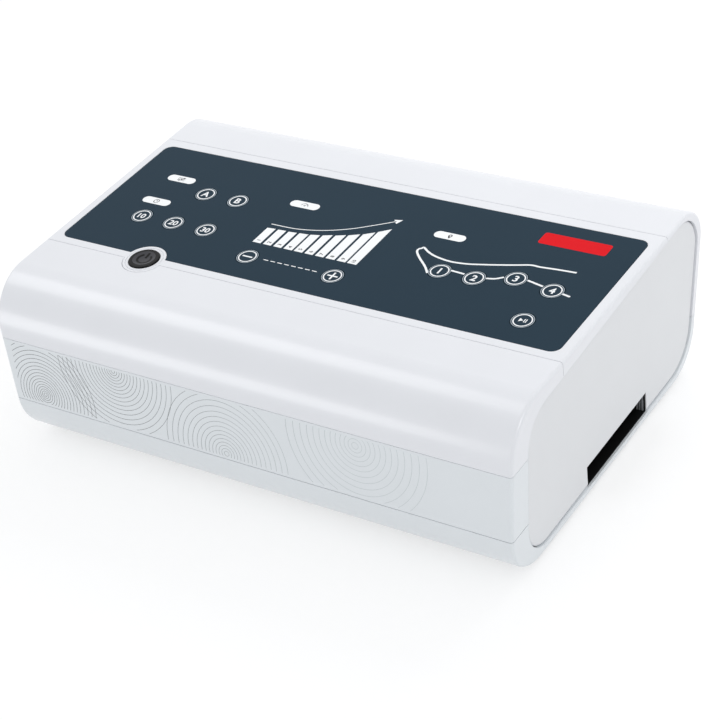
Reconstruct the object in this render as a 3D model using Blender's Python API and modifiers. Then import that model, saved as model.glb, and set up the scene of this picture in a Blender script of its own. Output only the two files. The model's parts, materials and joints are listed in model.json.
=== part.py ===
"""Compression therapy pump: a desk-top air pump that fills four-chamber leg sleeves.

X runs to the right, Y to the rear and Z up, in metres.
The origin is on the table under the middle of the case.
"""

import math

import bmesh
import bpy
from mathutils import Matrix, Vector

# Case, overall
CASE_WIDTH = 0.343
CASE_DEPTH = 0.2212
CASE_HEIGHT = 0.103
FOOT_STAND = 0.002
FRONT_LEAN = math.radians(6.4)
REAR_LEAN = math.radians(10.5)
END_LEAN = math.radians(3.3)
SHOULDER_RADIUS = 0.032
FRONT_BASE_RADIUS = 0.027
REAR_BASE_RADIUS = 0.028
REAR_TOP_RADIUS = 0.022
CREASE_RADIUS = 0.0012

# Walls, joints between covers, and clearances
WALL = 0.0028
RIM_THICKNESS = 0.0055
SEAM = 0.0005
CLEARANCE = 0.0003
OVERRUN = 0.02
UPPER_SEAM_DROP = 0.0325
LOWER_SEAM_DROP = 0.0723
LEDGE = 0.004

# End openings, which the side panels fill
RIM_TOP = 0.0061
RIM_FRONT = 0.0165
RIM_REAR = 0.005
RIM_BOTTOM = 0.0045
OPENING_TILT = math.radians(3)
OPENING_SHOULDER_RADIUS = 0.022
OPENING_FRONT_BASE_RADIUS = 0.019
OPENING_REAR_BASE_RADIUS = 0.027
OPENING_REAR_TOP_RADIUS = 0.022
SIDE_PANEL_THICKNESS = 0.003
SIDE_PANEL_RECESS = 0.002
SIDE_PANEL_EDGE = 0.0008

# Panel bezel and control overlay
OVERLAY_SIDE_MARGIN = 0.0065
OVERLAY_FROM_FRONT = 0.06665
OVERLAY_FROM_REAR = 0.04885
OVERLAY_THICKNESS = 0.0007
OVERLAY_RADIUS = 0.0055
BEZEL_FRONT_MARGIN = 0.0058
BEZEL_REAR_MARGIN = 0.0071
BEZEL_THICKNESS = 0.0055
BEZEL_SKIRT = 0.016

# Keys on the overlay
KEY_RADIUS = 0.0066
KEY_FLANGE = 0.0009
KEY_FLANGE_THICKNESS = 0.0008
KEY_STEM_RADIUS = 0.0022
KEY_STEM = 0.0064
KEY_TRAVEL = 0.0005
KEY_PITCH = 0.0236
KEY_COLUMN_INSET = 0.0349
MODE_ROW_SHARE = 0.1258
TIME_ROW_SHARE = -0.1807
PRESSURE_CENTRE = 0.0134
PRESSURE_SPACING = 0.0579
PRESSURE_ROW_SHARE = -0.3188
ZONE_INSET = 0.0283
ZONE_SPAN = 0.067
ZONE_ROW_SHARE = -0.0889
ZONE_RISE = 0.0073
ZONE_PLACE_SHARES = ((0.0, 0.0), (0.32, 0.04), (0.645, 1.0), (1.0, 0.55))
START_INSET = 0.0301
START_ROW_SHARE = -0.3226

# Power button
BUTTON_RADIUS = 0.0092
BUTTON_INSET = 0.0657
BUTTON_OVERHANG = 0.00355
BUTTON_RISE = 0.0008
BUTTON_DISH = 0.0009
BUTTON_EDGE = 0.0012
BUTTON_SKIRT = 0.0042
BUTTON_STEM_RADIUS = 0.003
BUTTON_TRAVEL = 0.002
TAB_RIM = 0.0036

# Control board under the bezel
BOARD_DROP = 0.0075
BOARD_THICKNESS = 0.0016
BOARD_MARGIN = 0.012
BOARD_FRONT_TONGUE = 0.013
BOARD_POST_RADIUS = 0.003
TACT_SIDE = 0.006
SWITCH_SIDE = 0.0125
SWITCH_BASE = 0.0012
BOARD_SCREW_RADIUS = 0.0011
BOARD_SCREW_HEAD = 0.0022
BOARD_SCREW_LENGTH = 0.006

# Case screws and their bosses
BOSS_RADIUS = 0.0048
BOSS_SIDE_INSET = 0.0225
FRONT_BOSS_INSET = 0.0395
REAR_BOSS_INSET = 0.034
SCREW_RADIUS = 0.0017
SCREW_HEAD_RADIUS = 0.0033
SCREW_HEAD_HEIGHT = 0.0024
SCREW_BITE = 0.012
SCREW_SEAT = 0.005

# Feet
FOOT_RADIUS = 0.0085
FOOT_RECESS = 0.0012
FOOT_INSET_X = 0.04
FOOT_INSET_FRONT = 0.047
FOOT_INSET_REAR = 0.061

# Ventilation slots in the underside
VENT_COUNT = 7
VENT_WIDTH = 0.0026
VENT_LENGTH = 0.034
VENT_PITCH = 0.0066

# Hose socket behind the slot in the right side panel
SLOT_LENGTH = 0.0695
SLOT_HEIGHT = 0.0133
SLOT_CENTRE = 0.0047
SOCKET_DEPTH = 0.03
SOCKET_POCKET = 0.014
SOCKET_WALL = 0.0022
PORT_COUNT = 4
PORT_PITCH = 0.0165
PORT_RADIUS = 0.0024
SPIGOT_RADIUS = 0.0039
SPIGOT_LENGTH = 0.006
KEYING_RIB = 0.0009
KEYING_RIB_COUNT = 3

# Mains inlet in the rear cover
INLET_FROM_SIDE = 0.095
INLET_SEAM_GAP = 0.0024
INLET_WIDTH = 0.0272
INLET_HEIGHT = 0.0198
INLET_BODY = 0.0225
INLET_FLANGE = 0.003
INLET_FLANGE_THICKNESS = 0.0018
INLET_WALL = 0.0016
INLET_POCKET = 0.0165
BLADE_WIDTH = 0.004
BLADE_THICKNESS = 0.0016
BLADE_LENGTH = 0.0115
BLADE_SPACING = 0.007
BLADE_DROP = 0.002

# Free-piston compressor
COMPRESSOR_END_SHARES = (0.0554, 0.4461)
COMPRESSOR_AXIS_Y = -0.019
MOUNT_HEIGHT = 0.007
MOUNT_RADIUS = 0.0065
MOUNT_WAIST = 0.0045
MOUNT_LIP = 0.002
PEG_RADIUS = 0.0022
BASE_WIDTH = 0.07
BASE_THICKNESS = 0.004
MOUNT_INSET = 0.0105
CORE_LENGTH = 0.05
CORE_SIDE = 0.054
CORE_STACK = 0.034
CORE_PLATE = 0.009
CORE_YOKE = 0.007
CORE_FROM_END = 0.014
ARMATURE_RADIUS = 0.0145
ARMATURE_LENGTH = 0.058
ROD_RADIUS = 0.005
PISTON_RADIUS = 0.02
PISTON_LENGTH = 0.014
PISTON_TRAVEL = 0.004
CYLINDER_WALL = 0.004
CYLINDER_LENGTH = 0.03
HEAD_RADIUS = 0.0262
HEAD_THICKNESS = 0.008
RUNNING_CLEARANCE = 0.0003
SADDLE_THICKNESS = 0.012

# Rotary air distributor and its gear drive
DISTRIBUTOR_FROM_SOCKET = 0.034
DISTRIBUTOR_DEPTH = 0.07
DISTRIBUTOR_WIDTH = 0.044
DISTRIBUTOR_HEIGHT = 0.0165
GEAR_MODULE = 0.0015
ROTOR_TEETH = 40
PINION_TEETH = 12
GEAR_THICKNESS = 0.005
TOOTH_ADDENDUM_SHARE = 0.9
TOOTH_DEDENDUM_SHARE = 1.2
TOOTH_TIP_SHARE = 0.12
TOOTH_ROOT_SHARE = 0.27
ROTOR_HUB_RADIUS = 0.008
ROTOR_HUB_HEIGHT = 0.006
PIN_RADIUS = 0.003
PIN_RISE = 0.0135
MOTOR_RADIUS = 0.0165
MOTOR_HEIGHT = 0.0155
SHAFT_RADIUS = 0.0015
SHAFT_RISE = 0.004

# Air hoses
HOSE_RADIUS = 0.0036
SUPPLY_SWING = 0.038
SUPPLY_LEAD_SHARE = 0.72
HOSE_LEG_SHARE = 0.08
INLET_NIPPLE_SETBACK = 0.007

# Mains transformer and power board
TRANSFORMER_FROM_END = 0.042
TRANSFORMER_FROM_REAR = 0.05
LAMINATION_WIDTH = 0.054
LAMINATION_HEIGHT = 0.045
LAMINATION_STACK = 0.018
LIMB = 0.009
COIL_MARGIN = 0.007
POWER_BOARD_GAP = 0.018
POWER_BOARD_LENGTH = 0.084
POWER_BOARD_WIDTH = 0.042
POWER_BOARD_RISE = 0.006
POWER_POST_RADIUS = 0.003
POWER_POST_INSET = 0.005
CAPACITOR_RADIUS = 0.008
CAPACITOR_HEIGHT = 0.02
HEAT_SINK_LENGTH = 0.03
HEAT_SINK_HEIGHT = 0.018
HEAT_SINK_THICKNESS = 0.003
CAPACITOR_SHARES = (0.16, 0.42)
HEAT_SINK_SHARE = 0.76

# Facets
ARC_STEPS = 6
ROUND_STEPS = 20
SMALL_STEPS = 10
KEY_STEPS = 16
STEM_STEPS = 8
TAB_STEPS = 30
HOSE_STEPS = 8
MERGE = 0.00001

# Places worked out from the sizes
TOP = FOOT_STAND + CASE_HEIGHT
FLOOR = FOOT_STAND + WALL
LOW_SEAM = TOP - LOWER_SEAM_DROP
HIGH_SEAM = TOP - UPPER_SEAM_DROP
OVERLAY_WIDTH = CASE_WIDTH - 2 * OVERLAY_SIDE_MARGIN
OVERLAY_DEPTH = CASE_DEPTH - OVERLAY_FROM_FRONT - OVERLAY_FROM_REAR
PANEL_OFFSET = (OVERLAY_FROM_FRONT - OVERLAY_FROM_REAR) / 2
OVERLAY_FRONT = PANEL_OFFSET - OVERLAY_DEPTH / 2
OVERLAY_REAR = PANEL_OFFSET + OVERLAY_DEPTH / 2
BEZEL_FRONT = OVERLAY_FRONT - BEZEL_FRONT_MARGIN
BEZEL_REAR = OVERLAY_REAR + BEZEL_REAR_MARGIN
POCKET_FLOOR = TOP - OVERLAY_THICKNESS - CLEARANCE
BEZEL_UNDERSIDE = TOP - BEZEL_THICKNESS
BOARD_TOP = BEZEL_UNDERSIDE - BOARD_DROP
BUTTON_PLACE = (-OVERLAY_WIDTH / 2 + BUTTON_INSET, OVERLAY_FRONT - BUTTON_OVERHANG)
TAB_RADIUS = BUTTON_RADIUS + TAB_RIM
KEY_WELL_RADIUS = KEY_RADIUS + KEY_FLANGE + CLEARANCE

MODEL = bpy.data.collections.new("compression_therapy_pump")
CUTTERS = bpy.data.collections.new("cutters")


def clear_scene():
    for obj in list(bpy.data.objects):
        bpy.data.objects.remove(obj, do_unlink=True)
    bpy.context.scene.collection.children.link(MODEL)
    bpy.context.scene.collection.children.link(CUTTERS)


def material(name, colour, roughness, metallic=0.0):
    """A plain finish for one kind of part."""
    finish = bpy.data.materials.new(name)
    finish.use_nodes = True
    shader = finish.node_tree.nodes["Principled BSDF"]
    shader.inputs["Base Color"].default_value = (*colour, 1.0)
    shader.inputs["Roughness"].default_value = roughness
    shader.inputs["Metallic"].default_value = metallic
    finish.diffuse_color = (*colour, 1.0)
    return finish


def part(name, mesh, finish, smooth=True):
    """Puts a mesh in the model as a named piece."""
    obj = bpy.data.objects.new(name, mesh)
    MODEL.objects.link(obj)
    if not mesh.materials:
        mesh.materials.append(finish)
    if smooth:
        mesh.shade_smooth()
        mesh.set_sharp_from_angle(angle=math.radians(35))
    return obj


def helper(name, mesh):
    """Puts a mesh among the cutters."""
    obj = bpy.data.objects.new(name, mesh)
    CUTTERS.objects.link(obj)
    obj.hide_render = True
    obj.display_type = "WIRE"
    return obj


def combine(target, other, operation):
    """Adds an exact Boolean of one object with another."""
    modifier = target.modifiers.new(other.name[:60], "BOOLEAN")
    modifier.operation = operation
    modifier.solver = "EXACT"
    modifier.object = other


def finished_mesh(name, bm):
    """Closes a bmesh with its faces pointing out, and returns its mesh."""
    bmesh.ops.remove_doubles(bm, verts=bm.verts, dist=MERGE)
    bmesh.ops.recalc_face_normals(bm, faces=bm.faces)
    mesh = bpy.data.meshes.new(name)
    bm.to_mesh(mesh)
    bm.free()
    return mesh


def extruded(name, outlines, half_length, edge=0, edge_steps=2):
    """A flat outline, with holes if there is more than one, as a closed plate about the XY plane."""
    curve = bpy.data.curves.new(name, "CURVE")
    curve.dimensions = "2D"
    curve.fill_mode = "BOTH"
    curve.extrude = half_length - edge
    curve.bevel_depth = edge
    curve.bevel_resolution = edge_steps
    for outline in outlines:
        spline = curve.splines.new("POLY")
        spline.points.add(len(outline) - 1)
        for point, (a, b) in zip(spline.points, outline):
            point.co = (a, b, 0, 1)
        spline.use_cyclic_u = True
    holder = bpy.data.objects.new(name, curve)
    CUTTERS.objects.link(holder)
    bpy.context.view_layer.update()
    graph = bpy.context.evaluated_depsgraph_get()
    flat = bpy.data.meshes.new_from_object(holder.evaluated_get(graph))
    bpy.data.objects.remove(holder)
    bm = bmesh.new()
    bm.from_mesh(flat)
    bpy.data.meshes.remove(flat)
    return finished_mesh(name, bm)


def along_x(mesh, middle=0):
    """Turns a plate so that its outline lies in YZ and it runs along X."""
    turn = Matrix(((0, 0, 1, middle), (1, 0, 0, 0), (0, 1, 0, 0), (0, 0, 0, 1)))
    mesh.transform(turn)
    return mesh


def level(mesh, low, high):
    """Moves a plate about the XY plane to lie between two heights."""
    mesh.transform(Matrix.Translation((0, 0, (low + high) / 2)))
    return mesh


def drafted(mesh):
    """Leans both ends inwards towards the base, by the case's end lean."""
    for vertex in mesh.vertices:
        lean = math.copysign(math.tan(END_LEAN), vertex.co.x)
        vertex.co.x += lean * (vertex.co.z - TOP)
    return mesh


def half_width(height):
    """Half the case's width at a height above the table."""
    return CASE_WIDTH / 2 - math.tan(END_LEAN) * (TOP - height)


def box_mesh(name, boxes):
    """One mesh of boxes, each given by its low and high corner."""
    bm = bmesh.new()
    for low, high in boxes:
        size = [b - a for a, b in zip(low, high)]
        middle = [(a + b) / 2 for a, b in zip(low, high)]
        place = Matrix.Translation(middle) @ Matrix.Diagonal((*size, 1))
        bmesh.ops.create_cube(bm, size=1, matrix=place)
    return finished_mesh(name, bm)


def cylinder_mesh(name, rods, segments=ROUND_STEPS, turn=Matrix()):
    """One mesh of upright cylinders, each given by its foot (x, y, z), radius and height."""
    bm = bmesh.new()
    for (x, y, z), radius, height in rods:
        place = Matrix.Translation((x, y, z)) @ turn @ Matrix.Translation((0, 0, height / 2))
        bmesh.ops.create_cone(
            bm, cap_ends=True, segments=segments, radius1=radius, radius2=radius, depth=height, matrix=place
        )
    return finished_mesh(name, bm)


def rod_tool(name, places, low, high, radius, segments=SMALL_STEPS):
    """A helper of upright cylinders at the given places, between two heights."""
    rods = [((x, y, low), radius, high - low) for x, y in places]
    return helper(name, cylinder_mesh(name, rods, segments))


def bar_tool(name, places, start, end, radius, segments=SMALL_STEPS):
    """A helper of cylinders along X, each given by its place in Y and Z, between two ends."""
    turn = Matrix.Rotation(math.pi / 2, 4, "Y")
    bars = [((start, y, z), radius, end - start) for y, z in places]
    return helper(name, cylinder_mesh(name, bars, segments, turn))


def box_tool(name, *boxes):
    """A helper of boxes, each given by its low and high corner."""
    return helper(name, box_mesh(name, boxes))


def about(x, y, half_x, half_y, low, high):
    """Low and high corner of a box about a place in X and Y, between two heights."""
    return (x - half_x, y - half_y, low), (x + half_x, y + half_y, high)


def turned(name, profile, finish, place, ring=False, turn=(0, 0, 0), segments=ROUND_STEPS):
    """A piece turned about its own Z axis from (radius, height) points that run down its outer side."""
    mesh = bpy.data.meshes.new(name)
    points = [(radius, 0, height) for radius, height in profile]
    edges = [(k, k + 1) for k in range(len(points) - 1)]
    if ring:
        edges.append((len(points) - 1, 0))
    mesh.from_pydata(points, edges, [])
    obj = part(name, mesh, finish, smooth=False)
    obj.location = place
    obj.rotation_euler = turn
    screw = obj.modifiers.new("turn", "SCREW")
    screw.steps = segments
    screw.render_steps = segments
    screw.use_merge_vertices = True
    screw.merge_threshold = MERGE
    screw.use_smooth_shade = False
    return obj


def tube(name, route, radius, finish):
    """A round hose along a smooth run through the points of its route."""
    curve = bpy.data.curves.new(name, "CURVE")
    curve.dimensions = "3D"
    curve.bevel_depth = radius
    curve.bevel_resolution = 2
    curve.use_fill_caps = True
    spline = curve.splines.new("POLY")
    smooth = smooth_run(route)
    spline.points.add(len(smooth) - 1)
    for point, place in zip(spline.points, smooth):
        point.co = (*place, 1)
    obj = bpy.data.objects.new(name, curve)
    MODEL.objects.link(obj)
    curve.materials.append(finish)
    return obj


def smooth_run(route):
    """Points of a cubic run that leaves each end of the route straight along its first and last leg."""
    start, lead, follow, end = [Vector(point) for point in route]
    first = start.lerp(lead, HOSE_LEG_SHARE)
    last = end.lerp(follow, HOSE_LEG_SHARE)
    points = [start]
    for step in range(HOSE_STEPS + 1):
        t = step / HOSE_STEPS
        weights = ((1 - t) ** 3, 3 * t * (1 - t) ** 2, 3 * t**2 * (1 - t), t**3)
        points.append(sum((w * p for w, p in zip(weights, (first, lead, follow, last))), Vector()))
    return [*points, end]


def side(angle, through):
    """A straight side of an outline: the angle of its outward normal, and how far out it lies."""
    return angle, math.cos(angle) * through[0] + math.sin(angle) * through[1]


def fillet_outline(sides, radii, inset=0):
    """Outline of straight sides joined by fillets, with each side moved in by the inset."""
    points = []
    for k, radius in enumerate(radii):
        angle_a, reach_a = sides[k]
        angle_b, reach_b = sides[(k + 1) % len(sides)]
        sweep = (angle_b - angle_a) % math.tau
        a, b = reach_a - radius, reach_b - radius
        centre_y = (a * math.sin(angle_b) - b * math.sin(angle_a)) / math.sin(sweep)
        centre_z = (b * math.cos(angle_a) - a * math.cos(angle_b)) / math.sin(sweep)
        for step in range(ARC_STEPS + 1):
            angle = angle_a + sweep * step / ARC_STEPS
            reach = radius - inset
            points.append((centre_y + reach * math.cos(angle), centre_z + reach * math.sin(angle)))
    return points


def leaning_side(angle, centre, radius):
    """The side that touches a fillet of this centre and radius."""
    return side(angle, (centre[0] + radius * math.cos(angle), centre[1] + radius * math.sin(angle)))


def case_sides():
    """Rear, top, front and underside of the case's cross-section, in that order."""
    rear_centre = (CASE_DEPTH / 2 - REAR_TOP_RADIUS, TOP - REAR_TOP_RADIUS)
    front_centre = (FRONT_BASE_RADIUS - CASE_DEPTH / 2, FOOT_STAND + FRONT_BASE_RADIUS)
    return (
        leaning_side(-REAR_LEAN, rear_centre, REAR_TOP_RADIUS),
        side(math.pi / 2, (0, TOP)),
        leaning_side(math.pi - FRONT_LEAN, front_centre, FRONT_BASE_RADIUS),
        side(-math.pi / 2, (0, FOOT_STAND)),
    )


def case_outline(inset=0):
    radii = (REAR_TOP_RADIUS, SHOULDER_RADIUS, FRONT_BASE_RADIUS, REAR_BASE_RADIUS)
    return fillet_outline(case_sides(), radii, inset)


def opening_outline(inset=0):
    """Outline of the opening in each end, which the side panel fills."""
    rear, _, front, _ = case_sides()
    sides = (
        (rear[0], rear[1] - RIM_REAR),
        side(math.pi / 2 + OPENING_TILT, (PANEL_OFFSET, TOP - RIM_TOP)),
        (front[0], front[1] - RIM_FRONT),
        side(-math.pi / 2, (0, FOOT_STAND + RIM_BOTTOM)),
    )
    radii = (
        OPENING_REAR_TOP_RADIUS,
        OPENING_SHOULDER_RADIUS,
        OPENING_FRONT_BASE_RADIUS,
        OPENING_REAR_BASE_RADIUS,
    )
    return fillet_outline(sides, radii, inset)


def circle(centre, radius, segments=ROUND_STEPS):
    x, y = centre
    turns = [math.tau * k / segments for k in range(segments)]
    return [(x + radius * math.cos(t), y + radius * math.sin(t)) for t in turns]


def rounded_rectangle(width, depth, radius, centre):
    """Outline of a rectangle with round corners, about a centre in X and Y."""
    sides = (
        side(0, (width / 2, 0)),
        side(math.pi / 2, (0, depth / 2)),
        side(math.pi, (-width / 2, 0)),
        side(-math.pi / 2, (0, -depth / 2)),
    )
    outline = fillet_outline(sides, (radius,) * 4)
    return [(x + centre[0], y + centre[1]) for x, y in outline]


def row(share):
    """Y of a row of keys, a share of the overlay's depth to the rear of its middle."""
    return PANEL_OFFSET + OVERLAY_DEPTH * share


def key_places():
    """Name and centre of each key on the overlay."""
    left = -OVERLAY_WIDTH / 2
    right = OVERLAY_WIDTH / 2
    columns = [left + KEY_COLUMN_INSET + k * KEY_PITCH for k in range(3)]
    places = {
        "key_mode_a": (columns[1], row(MODE_ROW_SHARE)),
        "key_mode_b": (columns[2], row(MODE_ROW_SHARE)),
        "key_time_10": (columns[0], row(TIME_ROW_SHARE)),
        "key_time_20": (columns[1], row(TIME_ROW_SHARE)),
        "key_time_30": (columns[2], row(TIME_ROW_SHARE)),
        "key_pressure_minus": (-PRESSURE_CENTRE - PRESSURE_SPACING / 2, row(PRESSURE_ROW_SHARE)),
        "key_pressure_plus": (-PRESSURE_CENTRE + PRESSURE_SPACING / 2, row(PRESSURE_ROW_SHARE)),
        "key_start": (right - START_INSET, row(START_ROW_SHARE)),
    }
    for number, (along, up) in enumerate(ZONE_PLACE_SHARES, start=1):
        x = right - ZONE_INSET - ZONE_SPAN * (1 - along)
        places[f"key_zone_{number}"] = (x, row(ZONE_ROW_SHARE) + ZONE_RISE * up)
    return places


def boss_places():
    """Centres of the four case screws."""
    x = CASE_WIDTH / 2 - BOSS_SIDE_INSET
    front = -CASE_DEPTH / 2 + FRONT_BOSS_INSET
    rear = CASE_DEPTH / 2 - REAR_BOSS_INSET
    return [(-x, front), (x, front), (-x, rear), (x, rear)]


def foot_places():
    x = CASE_WIDTH / 2 - FOOT_INSET_X
    front = -CASE_DEPTH / 2 + FOOT_INSET_FRONT
    rear = CASE_DEPTH / 2 - FOOT_INSET_REAR
    return {
        "foot_front_left": (-x, front),
        "foot_front_right": (x, front),
        "foot_rear_left": (-x, rear),
        "foot_rear_right": (x, rear),
    }


def board_post_places():
    """Centres of the posts that carry the control board."""
    x = OVERLAY_WIDTH / 2 - BOARD_MARGIN - 2 * BOARD_POST_RADIUS
    y = OVERLAY_DEPTH / 2 - BOARD_MARGIN - BOARD_POST_RADIUS
    return [(sx * x, PANEL_OFFSET + sy * y) for sx in (-1, 1) for sy in (-1, 1)]


def socket_box():
    """Low and high corner of the hose socket's block."""
    outer = half_width(FLOOR) - RIM_THICKNESS - CLEARANCE
    half = SLOT_LENGTH / 2 + SOCKET_WALL
    low = (outer - SOCKET_DEPTH, SLOT_CENTRE - half, FLOOR + CLEARANCE)
    high = (outer, SLOT_CENTRE + half, slot_top() + SOCKET_WALL)
    return low, high


def slot_top():
    """Height of the slot's upper edge above the table."""
    return FOOT_STAND + RIM_BOTTOM + SLOT_HEIGHT


def port_places():
    """Y of each air port, and the height that they share."""
    middle = (PORT_COUNT - 1) / 2
    height = slot_top() - SLOT_HEIGHT / 2
    return [SLOT_CENTRE + (k - middle) * PORT_PITCH for k in range(PORT_COUNT)], height


def case_tools():
    """Solids that cut the case into covers: the blank, its hollow, its core and the end openings."""
    half = CASE_WIDTH / 2
    blank = along_x(extruded("case_blank", [case_outline(CREASE_RADIUS)], half, edge=CREASE_RADIUS))
    hollow = along_x(extruded("case_hollow", [case_outline(WALL)], half - RIM_THICKNESS))
    core = along_x(extruded("case_core", [case_outline(WALL / 2)], half - RIM_THICKNESS / 2))
    reach = (RIM_THICKNESS + OVERRUN) / 2
    ends = []
    for direction in (-1, 1):
        middle = direction * (half - RIM_THICKNESS - CLEARANCE + reach)
        ends.append(along_x(extruded("end_opening", [opening_outline()], reach), middle))
    bm = bmesh.new()
    for mesh in ends:
        bm.from_mesh(mesh)
    openings = finished_mesh("end_openings", bm)
    return {
        "blank": helper("case_blank", drafted(blank)),
        "hollow": helper("case_hollow", drafted(hollow)),
        "core": helper("case_core", drafted(core)),
        "openings": helper("end_openings", drafted(openings)),
    }


def region(name, low_y, high_y, low_z, high_z):
    """A box across the whole width, which keeps one cover out of the case."""
    across = CASE_WIDTH / 2 + OVERRUN
    return helper(name, box_mesh(name, [((-across, low_y, low_z), (across, high_y, high_z))]))


def cover(name, tools, keep, finish, hollow=None):
    """One cover: the part of the hollow case that lies in its region."""
    obj = part(name, tools["blank"].data.copy(), finish)
    combine(obj, hollow or tools["hollow"], "DIFFERENCE")
    combine(obj, tools["openings"], "DIFFERENCE")
    combine(obj, keep, "INTERSECT")
    return obj


def inner_features(tool, tools):
    """Bosses, posts and ledges, trimmed so that they end inside the walls."""
    combine(tool, tools["core"], "INTERSECT")
    return tool


def ledge_tool(name, seam_y, direction):
    """A stepped ledge under the bezel's edge; direction points from the seam towards the bezel."""
    under = BEZEL_UNDERSIDE - CLEARANCE
    outside = seam_y - direction * SEAM / 2
    points = [
        (outside - direction * WALL, TOP),
        (outside, TOP),
        (outside, under),
        (seam_y + direction * LEDGE, under),
        (seam_y + direction * LEDGE, under - WALL),
        (outside - direction * WALL, under - WALL),
    ]
    half = CASE_WIDTH / 2 - 2 * RIM_THICKNESS
    return helper(name, along_x(extruded(name, [points], half)))


def build_bottom_case(tools, finish):
    across = CASE_DEPTH / 2 + OVERRUN
    seam = LOW_SEAM - SEAM / 2
    keep = region("bottom_region", -across, across, FOOT_STAND - OVERRUN, seam)
    obj = cover("bottom_case", tools, keep, finish)
    post_top = FLOOR + POWER_BOARD_RISE
    features = (
        rod_tool("bottom_bosses", boss_places(), FOOT_STAND, seam, BOSS_RADIUS),
        rod_tool("power_posts", power_post_places(), FOOT_STAND, post_top, POWER_POST_RADIUS),
        rod_tool("mount_pegs", mount_places(), FOOT_STAND, peg_top(), PEG_RADIUS),
    )
    for feature in features:
        combine(obj, inner_features(feature, tools), "UNION")
    seat = FOOT_STAND + SCREW_SEAT
    bore = SCREW_RADIUS + CLEARANCE
    sink = SCREW_HEAD_RADIUS + CLEARANCE
    top = FOOT_STAND + FOOT_RECESS
    feet = foot_places().values()
    cuts = (
        rod_tool("screw_bores", boss_places(), seat - SCREW_SEAT / 2, LOW_SEAM + OVERRUN, bore),
        rod_tool("screw_sinks", boss_places(), seat - OVERRUN, seat, sink),
        rod_tool("foot_recesses", feet, top - OVERRUN, top, FOOT_RADIUS + CLEARANCE, ROUND_STEPS),
        helper("vents", vent_mesh()),
    )
    for tool in cuts:
        combine(obj, tool, "DIFFERENCE")
    return obj


def vent_mesh():
    """Slots in the floor on both sides of the middle."""
    boxes = []
    for direction in (-1, 1):
        middle = direction * (VENT_LENGTH / 2 + VENT_PITCH)
        for k in range(VENT_COUNT):
            y = (k - (VENT_COUNT - 1) / 2) * VENT_PITCH
            low = (middle - VENT_LENGTH / 2, y - VENT_WIDTH / 2, FOOT_STAND - WALL)
            high = (middle + VENT_LENGTH / 2, y + VENT_WIDTH / 2, FLOOR + WALL)
            boxes.append((low, high))
    return box_mesh("vents", boxes)


def build_front_band(tools, finish):
    outside = -CASE_DEPTH / 2 - OVERRUN
    keep = region("front_region", outside, BEZEL_FRONT, LOW_SEAM + SEAM / 2, HIGH_SEAM - SEAM / 2)
    return cover("front_band", tools, keep, finish)


def tab_cutter(name, radius):
    return rod_tool(name, [BUTTON_PLACE], BEZEL_UNDERSIDE - OVERRUN, TOP + OVERRUN, radius, TAB_STEPS)


def add_bosses(obj, name, places, tools):
    """Screw bosses that hang in a cover, each with its blind pilot hole."""
    low = LOW_SEAM + SEAM / 2
    tip = LOW_SEAM + SCREW_BITE + CLEARANCE
    bosses = rod_tool(name + "_bosses", places, low, TOP, BOSS_RADIUS)
    combine(obj, inner_features(bosses, tools), "UNION")
    pilots = rod_tool(name + "_pilots", places, low - SEAM, tip, SCREW_RADIUS + CLEARANCE)
    combine(obj, pilots, "DIFFERENCE")


def build_shoulder_cover(tools, finish):
    outside = -CASE_DEPTH / 2 - OVERRUN
    keep = region("shoulder_region", outside, BEZEL_FRONT - SEAM / 2, HIGH_SEAM + SEAM / 2, TOP + OVERRUN)
    obj = cover("shoulder_cover", tools, keep, finish)
    ledge = ledge_tool("shoulder_ledge", BEZEL_FRONT, 1)
    combine(obj, inner_features(ledge, tools), "UNION")
    combine(obj, tab_cutter("tab_clearance", TAB_RADIUS + SEAM), "DIFFERENCE")
    add_bosses(obj, "shoulder", boss_places()[:2], tools)
    return obj


def build_rear_cover(tools, finish):
    outside = CASE_DEPTH / 2 + OVERRUN
    keep = region("rear_region", 0, outside, LOW_SEAM + SEAM / 2, TOP + OVERRUN)
    obj = cover("rear_cover", tools, keep, finish)
    limit = region("rear_limit", -OVERRUN, BEZEL_REAR + SEAM / 2, LOW_SEAM - OVERRUN, TOP + OVERRUN)
    combine(obj, limit, "DIFFERENCE")
    ledge = ledge_tool("rear_ledge", BEZEL_REAR, -1)
    combine(obj, inner_features(ledge, tools), "UNION")
    add_bosses(obj, "rear", boss_places()[2:], tools)
    half_x = INLET_WIDTH / 2 + CLEARANCE
    half_z = INLET_HEIGHT / 2 + CLEARANCE
    hole = box_tool("inlet_hole", ((-half_x, -OVERRUN, -half_z), (half_x, OVERRUN, half_z)))
    hole.location, hole.rotation_euler = inlet_place()
    combine(obj, hole, "DIFFERENCE")
    return obj


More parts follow.
